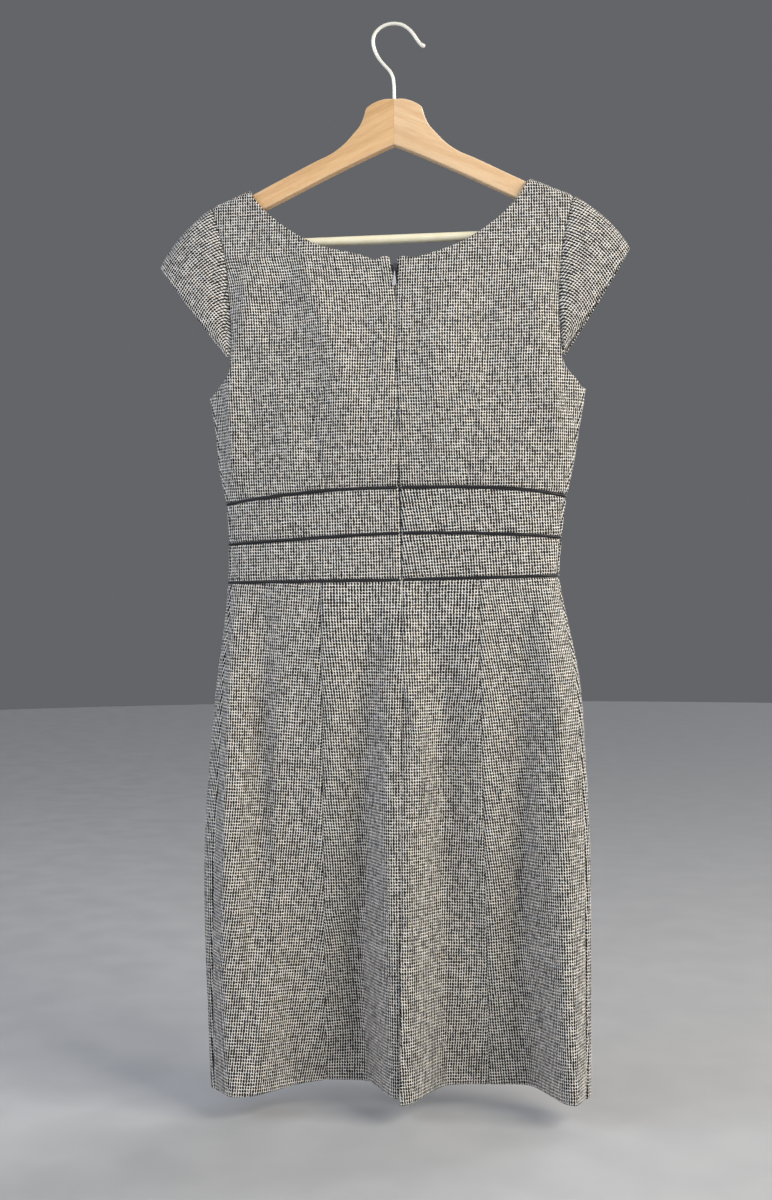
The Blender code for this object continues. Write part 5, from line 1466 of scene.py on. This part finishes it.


def wood_half(side):
    sign = -1 if side == "left" else 1
    outline = [(MEETING_GAP, -82.0)] + ARM_OUTLINE + [(MEETING_GAP, -130.4)]
    contour = run(outline, np.linspace(0, 1, ARM_STATIONS))
    tangent = unit(np.gradient(contour, axis=0))
    inwards = np.stack([tangent[:, 1], -tangent[:, 0]], 1)
    inwards[0], inwards[-1] = (0, -1), (0, 1)
    radius = EDGE_ROUND + (HIDDEN_ROUND - EDGE_ROUND) * ease((contour[:, 0] - 128) / 22)
    profile = [(1 - math.sin(a), 1 - math.cos(a)) for a in np.linspace(0, math.pi / 2, len(EDGE_HIGHLIGHT))]
    loops = []
    for face, shares in ((BACK, profile), (FRONT, profile[::-1])):
        for inset_share, depth_share in shares:
            flat = contour + inwards * (radius * inset_share)[:, None]
            x = HANGER_X + sign * flat[:, 0]
            y = face * (HANGER_HALF - radius * depth_share)
            loops.append(np.stack([x, y, flat[:, 1] + hanger_shift(x)], 1))
    size = len(contour)
    index = np.arange(len(loops) * size).reshape(len(loops), size)
    corners = index[:-1, :-1], index[:-1, 1:], index[1:, 1:], index[1:, :-1]
    faces = np.stack(corners, -1).reshape(-1, 4).tolist()
    faces += [index[0].tolist(), index[-1][::-1].tolist(), index[:, 0].tolist() + index[::-1, -1].tolist()]
    points = np.concatenate(loops) * MM
    piece = mesh_piece(f"beech_arm_{side}", points, faces, points[:, [0, 2]], BEECH[side])
    # Each ring of the rounded edge gets its share of the painted highlight.
    painted_highlight = piece.data.attributes.new("painted_edge_highlight", "FLOAT", "POINT")
    painted_highlight.data.foreach_set("value", np.repeat(EDGE_HIGHLIGHT + EDGE_HIGHLIGHT[::-1], size))
    face_out(piece)
    piece.data.set_sharp_from_angle(angle=math.radians(35))
    declare(piece, [f"hanger_arm_{side}"])
    print(piece.name, len(piece.data.polygons), "faces")


for side in SIDES:
    wood_half(side)


# %% Tubes for the bar and the hook
def tube(name, path, radii, sides, material, node_name):
    """A closed round tube along a path of (x, z) points, with rounded ends."""
    path, radii = np.insert(np.asarray(path, float), 1, 0.0, axis=1), np.asarray(radii, float)
    caps = [(math.cos(a), math.sin(a)) for a in np.linspace(0, math.pi / 2, 6)[1:-1]]
    along = unit(np.gradient(path, axis=0))
    start = [(path[0] - along[0] * radii[0] * s, radii[0] * c, along[0]) for c, s in caps[::-1]]
    end = [(path[-1] + along[-1] * radii[-1] * s, radii[-1] * c, along[-1]) for c, s in caps]
    turns = np.linspace(0, 2 * math.pi, sides, endpoint=False)
    side_way = np.array([0.0, 1.0, 0.0])
    rings = [p + r * (np.cos(turns)[:, None] * np.cross(a, side_way) + np.sin(turns)[:, None] * side_way)
             for p, r, a in start + list(zip(path, radii, along)) + end]
    uv = np.stack([np.tile(turns, len(rings)), np.repeat(np.arange(len(rings)) * 1.0, sides)], 1) * MM
    declare(ringed(name, rings, uv, material), [node_name])


# %% Bar and hook
WIRE_RADIUS, WIRE_STATIONS = 1.7, 170
BAR_RADIUS, BAR_Z, BAR_HALF, BAR_STATIONS = 4.8, -229.0, 191.0, 60
bar = run([(HANGER_X - BAR_HALF, BAR_Z), (HANGER_X + BAR_HALF, BAR_Z)], np.linspace(0, 1, BAR_STATIONS))
tube("cream_bar", bar, np.full(BAR_STATIONS, BAR_RADIUS), 40, CREAM, "hanger_bar")
HOOK = [(-2.5, -104.0), (-2.5, -90.0), (-2.6, -79.0), (-2.9, -65.3), (-4.1, -56.8), (-7.1, -50.8),
        (-13.0, -44.0), (-18.9, -36.3), (-23.2, -27.1), (-24.7, -18.6), (-23.3, -11.5), (-19.3, -6.4),
        (-13.3, -2.6), (-6.9, -0.9), (-0.5, -0.9), (5.5, -2.2), (10.3, -4.9), (15.0, -9.0), (18.7, -13.6),
        (22.4, -19.4), (25.9, -23.9), (28.6, -26.0)]
wire, station = run(HOOK, np.linspace(0, 1, WIRE_STATIONS)), np.arange(WIRE_STATIONS)
thickness = WIRE_RADIUS * (1 + 0.08 * ease((station - 60) / 30) + 0.22 * ease((station - 165) / 3.0))
tube("steel_hook", wire, thickness, 24, STEEL, "hanger_hook")
print("hook top", round(float(wire[:, 1].max()) + WIRE_RADIUS, 1), "mm")

# %% [markdown]
# ## Floor, light and camera
#
# A plain pale floor lies under the hem. A large warm light stands to the right and rakes across
# the folds, and a weaker cool one fills from the left, so that slopes that face right are warm and
# bright and slopes that face left are bluish. A faint one in front softens both, and a broad one
# from behind lights the hidden side.

# %% Floor
def studio_surface():
    given = shader_group("studio_paint", {"Paint": UNSET})
    speck = given["Place"].noise(14.0, 3.0)
    paler = speck.between(0.3, 0.7, 0.0, 0.06).blend(given["Paint"], (1, 1, 1, 1))
    return surface(paler, speck.between(0.3, 0.7, 0.75, 0.9), speck)


FLOOR_Z, FLOOR_RADIUS, FLOOR_SIDES = -1.150, 6.0, 96
floor_mesh = bpy.data.meshes.new("studio_floor")
floor_mesh.from_pydata([(FLOOR_RADIUS * math.cos(a), FLOOR_RADIUS * math.sin(a), FLOOR_Z)
                        for a in np.linspace(0, 2 * math.pi, FLOOR_SIDES, endpoint=False)],
                       [], [list(range(FLOOR_SIDES))])
floor_mesh.materials.append(finish_of("studio_floor", studio_surface(), {"Paint": (0.46, 0.465, 0.48, 1)}))
added("studio_floor", floor_mesh)


# %% Lights
def lamp(name, kind, place, aim, power, colour, **settings):
    """A light at a place that shines along aim."""
    light = bpy.data.lights.new(name, kind)
    light.energy, light.color = power, colour
    for key, value in settings.items():
        setattr(light, key, value)
    made = added(name, light)
    made.location = place
    made.rotation_euler = Vector(aim).to_track_quat("-Z", "Y").to_euler()


MIDDLE = Vector((0.0, 0.0, -0.50))
for name, place, width, height, power, colour in (
        ("key_right", (1.95, -1.04, 0.50), 1.6, 1.3, 62.0, (1.0, 0.94, 0.83)),
        ("fill_left", (-1.98, -0.96, 0.45), 1.6, 1.3, 26.0, (0.84, 0.90, 1.0)),
        ("soft_front", (-0.6, -2.2, 0.30), 2.0, 1.6, 12.0, (0.93, 0.96, 1.0))):
    lamp(name, "AREA", place, MIDDLE - Vector(place), power, colour,
         shape="RECTANGLE", size=width, size_y=height)
lamp("far_behind", "SUN", (0, 0, 0), (-0.80, -0.90, -0.45), 2.0, (0.98, 0.98, 1.0), angle=math.radians(50))
world = bpy.data.worlds.new("studio_air")
bpy.context.scene.world = world
world.use_nodes = True
world.node_tree.nodes["Background"].inputs["Color"].default_value = (0.125, 0.13, 0.14, 1)

# %% Camera
VIEW_TURN, ROLL = math.radians(7.1), math.radians(0.5)
LOOK_AT, DISTANCE = Vector((-0.016, 0.0, -0.611)), 1.5
forward = Vector((-math.sin(VIEW_TURN), math.cos(VIEW_TURN), 0))
right, upright = Vector((math.cos(VIEW_TURN), math.sin(VIEW_TURN), 0)), Vector((0, 0, 1))
camera_right = right * math.cos(ROLL) - upright * math.sin(ROLL)
camera_up = right * math.sin(ROLL) + upright * math.cos(ROLL)
camera_data = bpy.data.cameras.new("photo_camera")
camera_data.sensor_fit, camera_data.sensor_height, camera_data.lens = "VERTICAL", 24.0, 28.3
camera_data.clip_start = 0.01
camera = added("photo_camera", camera_data)
placed_at = Matrix.Translation(LOOK_AT - forward * DISTANCE)
camera.matrix_world = placed_at @ Matrix((camera_right, camera_up, -forward)).transposed().to_4x4()
scene = bpy.context.scene
scene.camera = camera
scene.view_settings.view_transform = "Standard"
scene.view_settings.look = "None"
print("camera at", [round(v, 3) for v in camera.location])
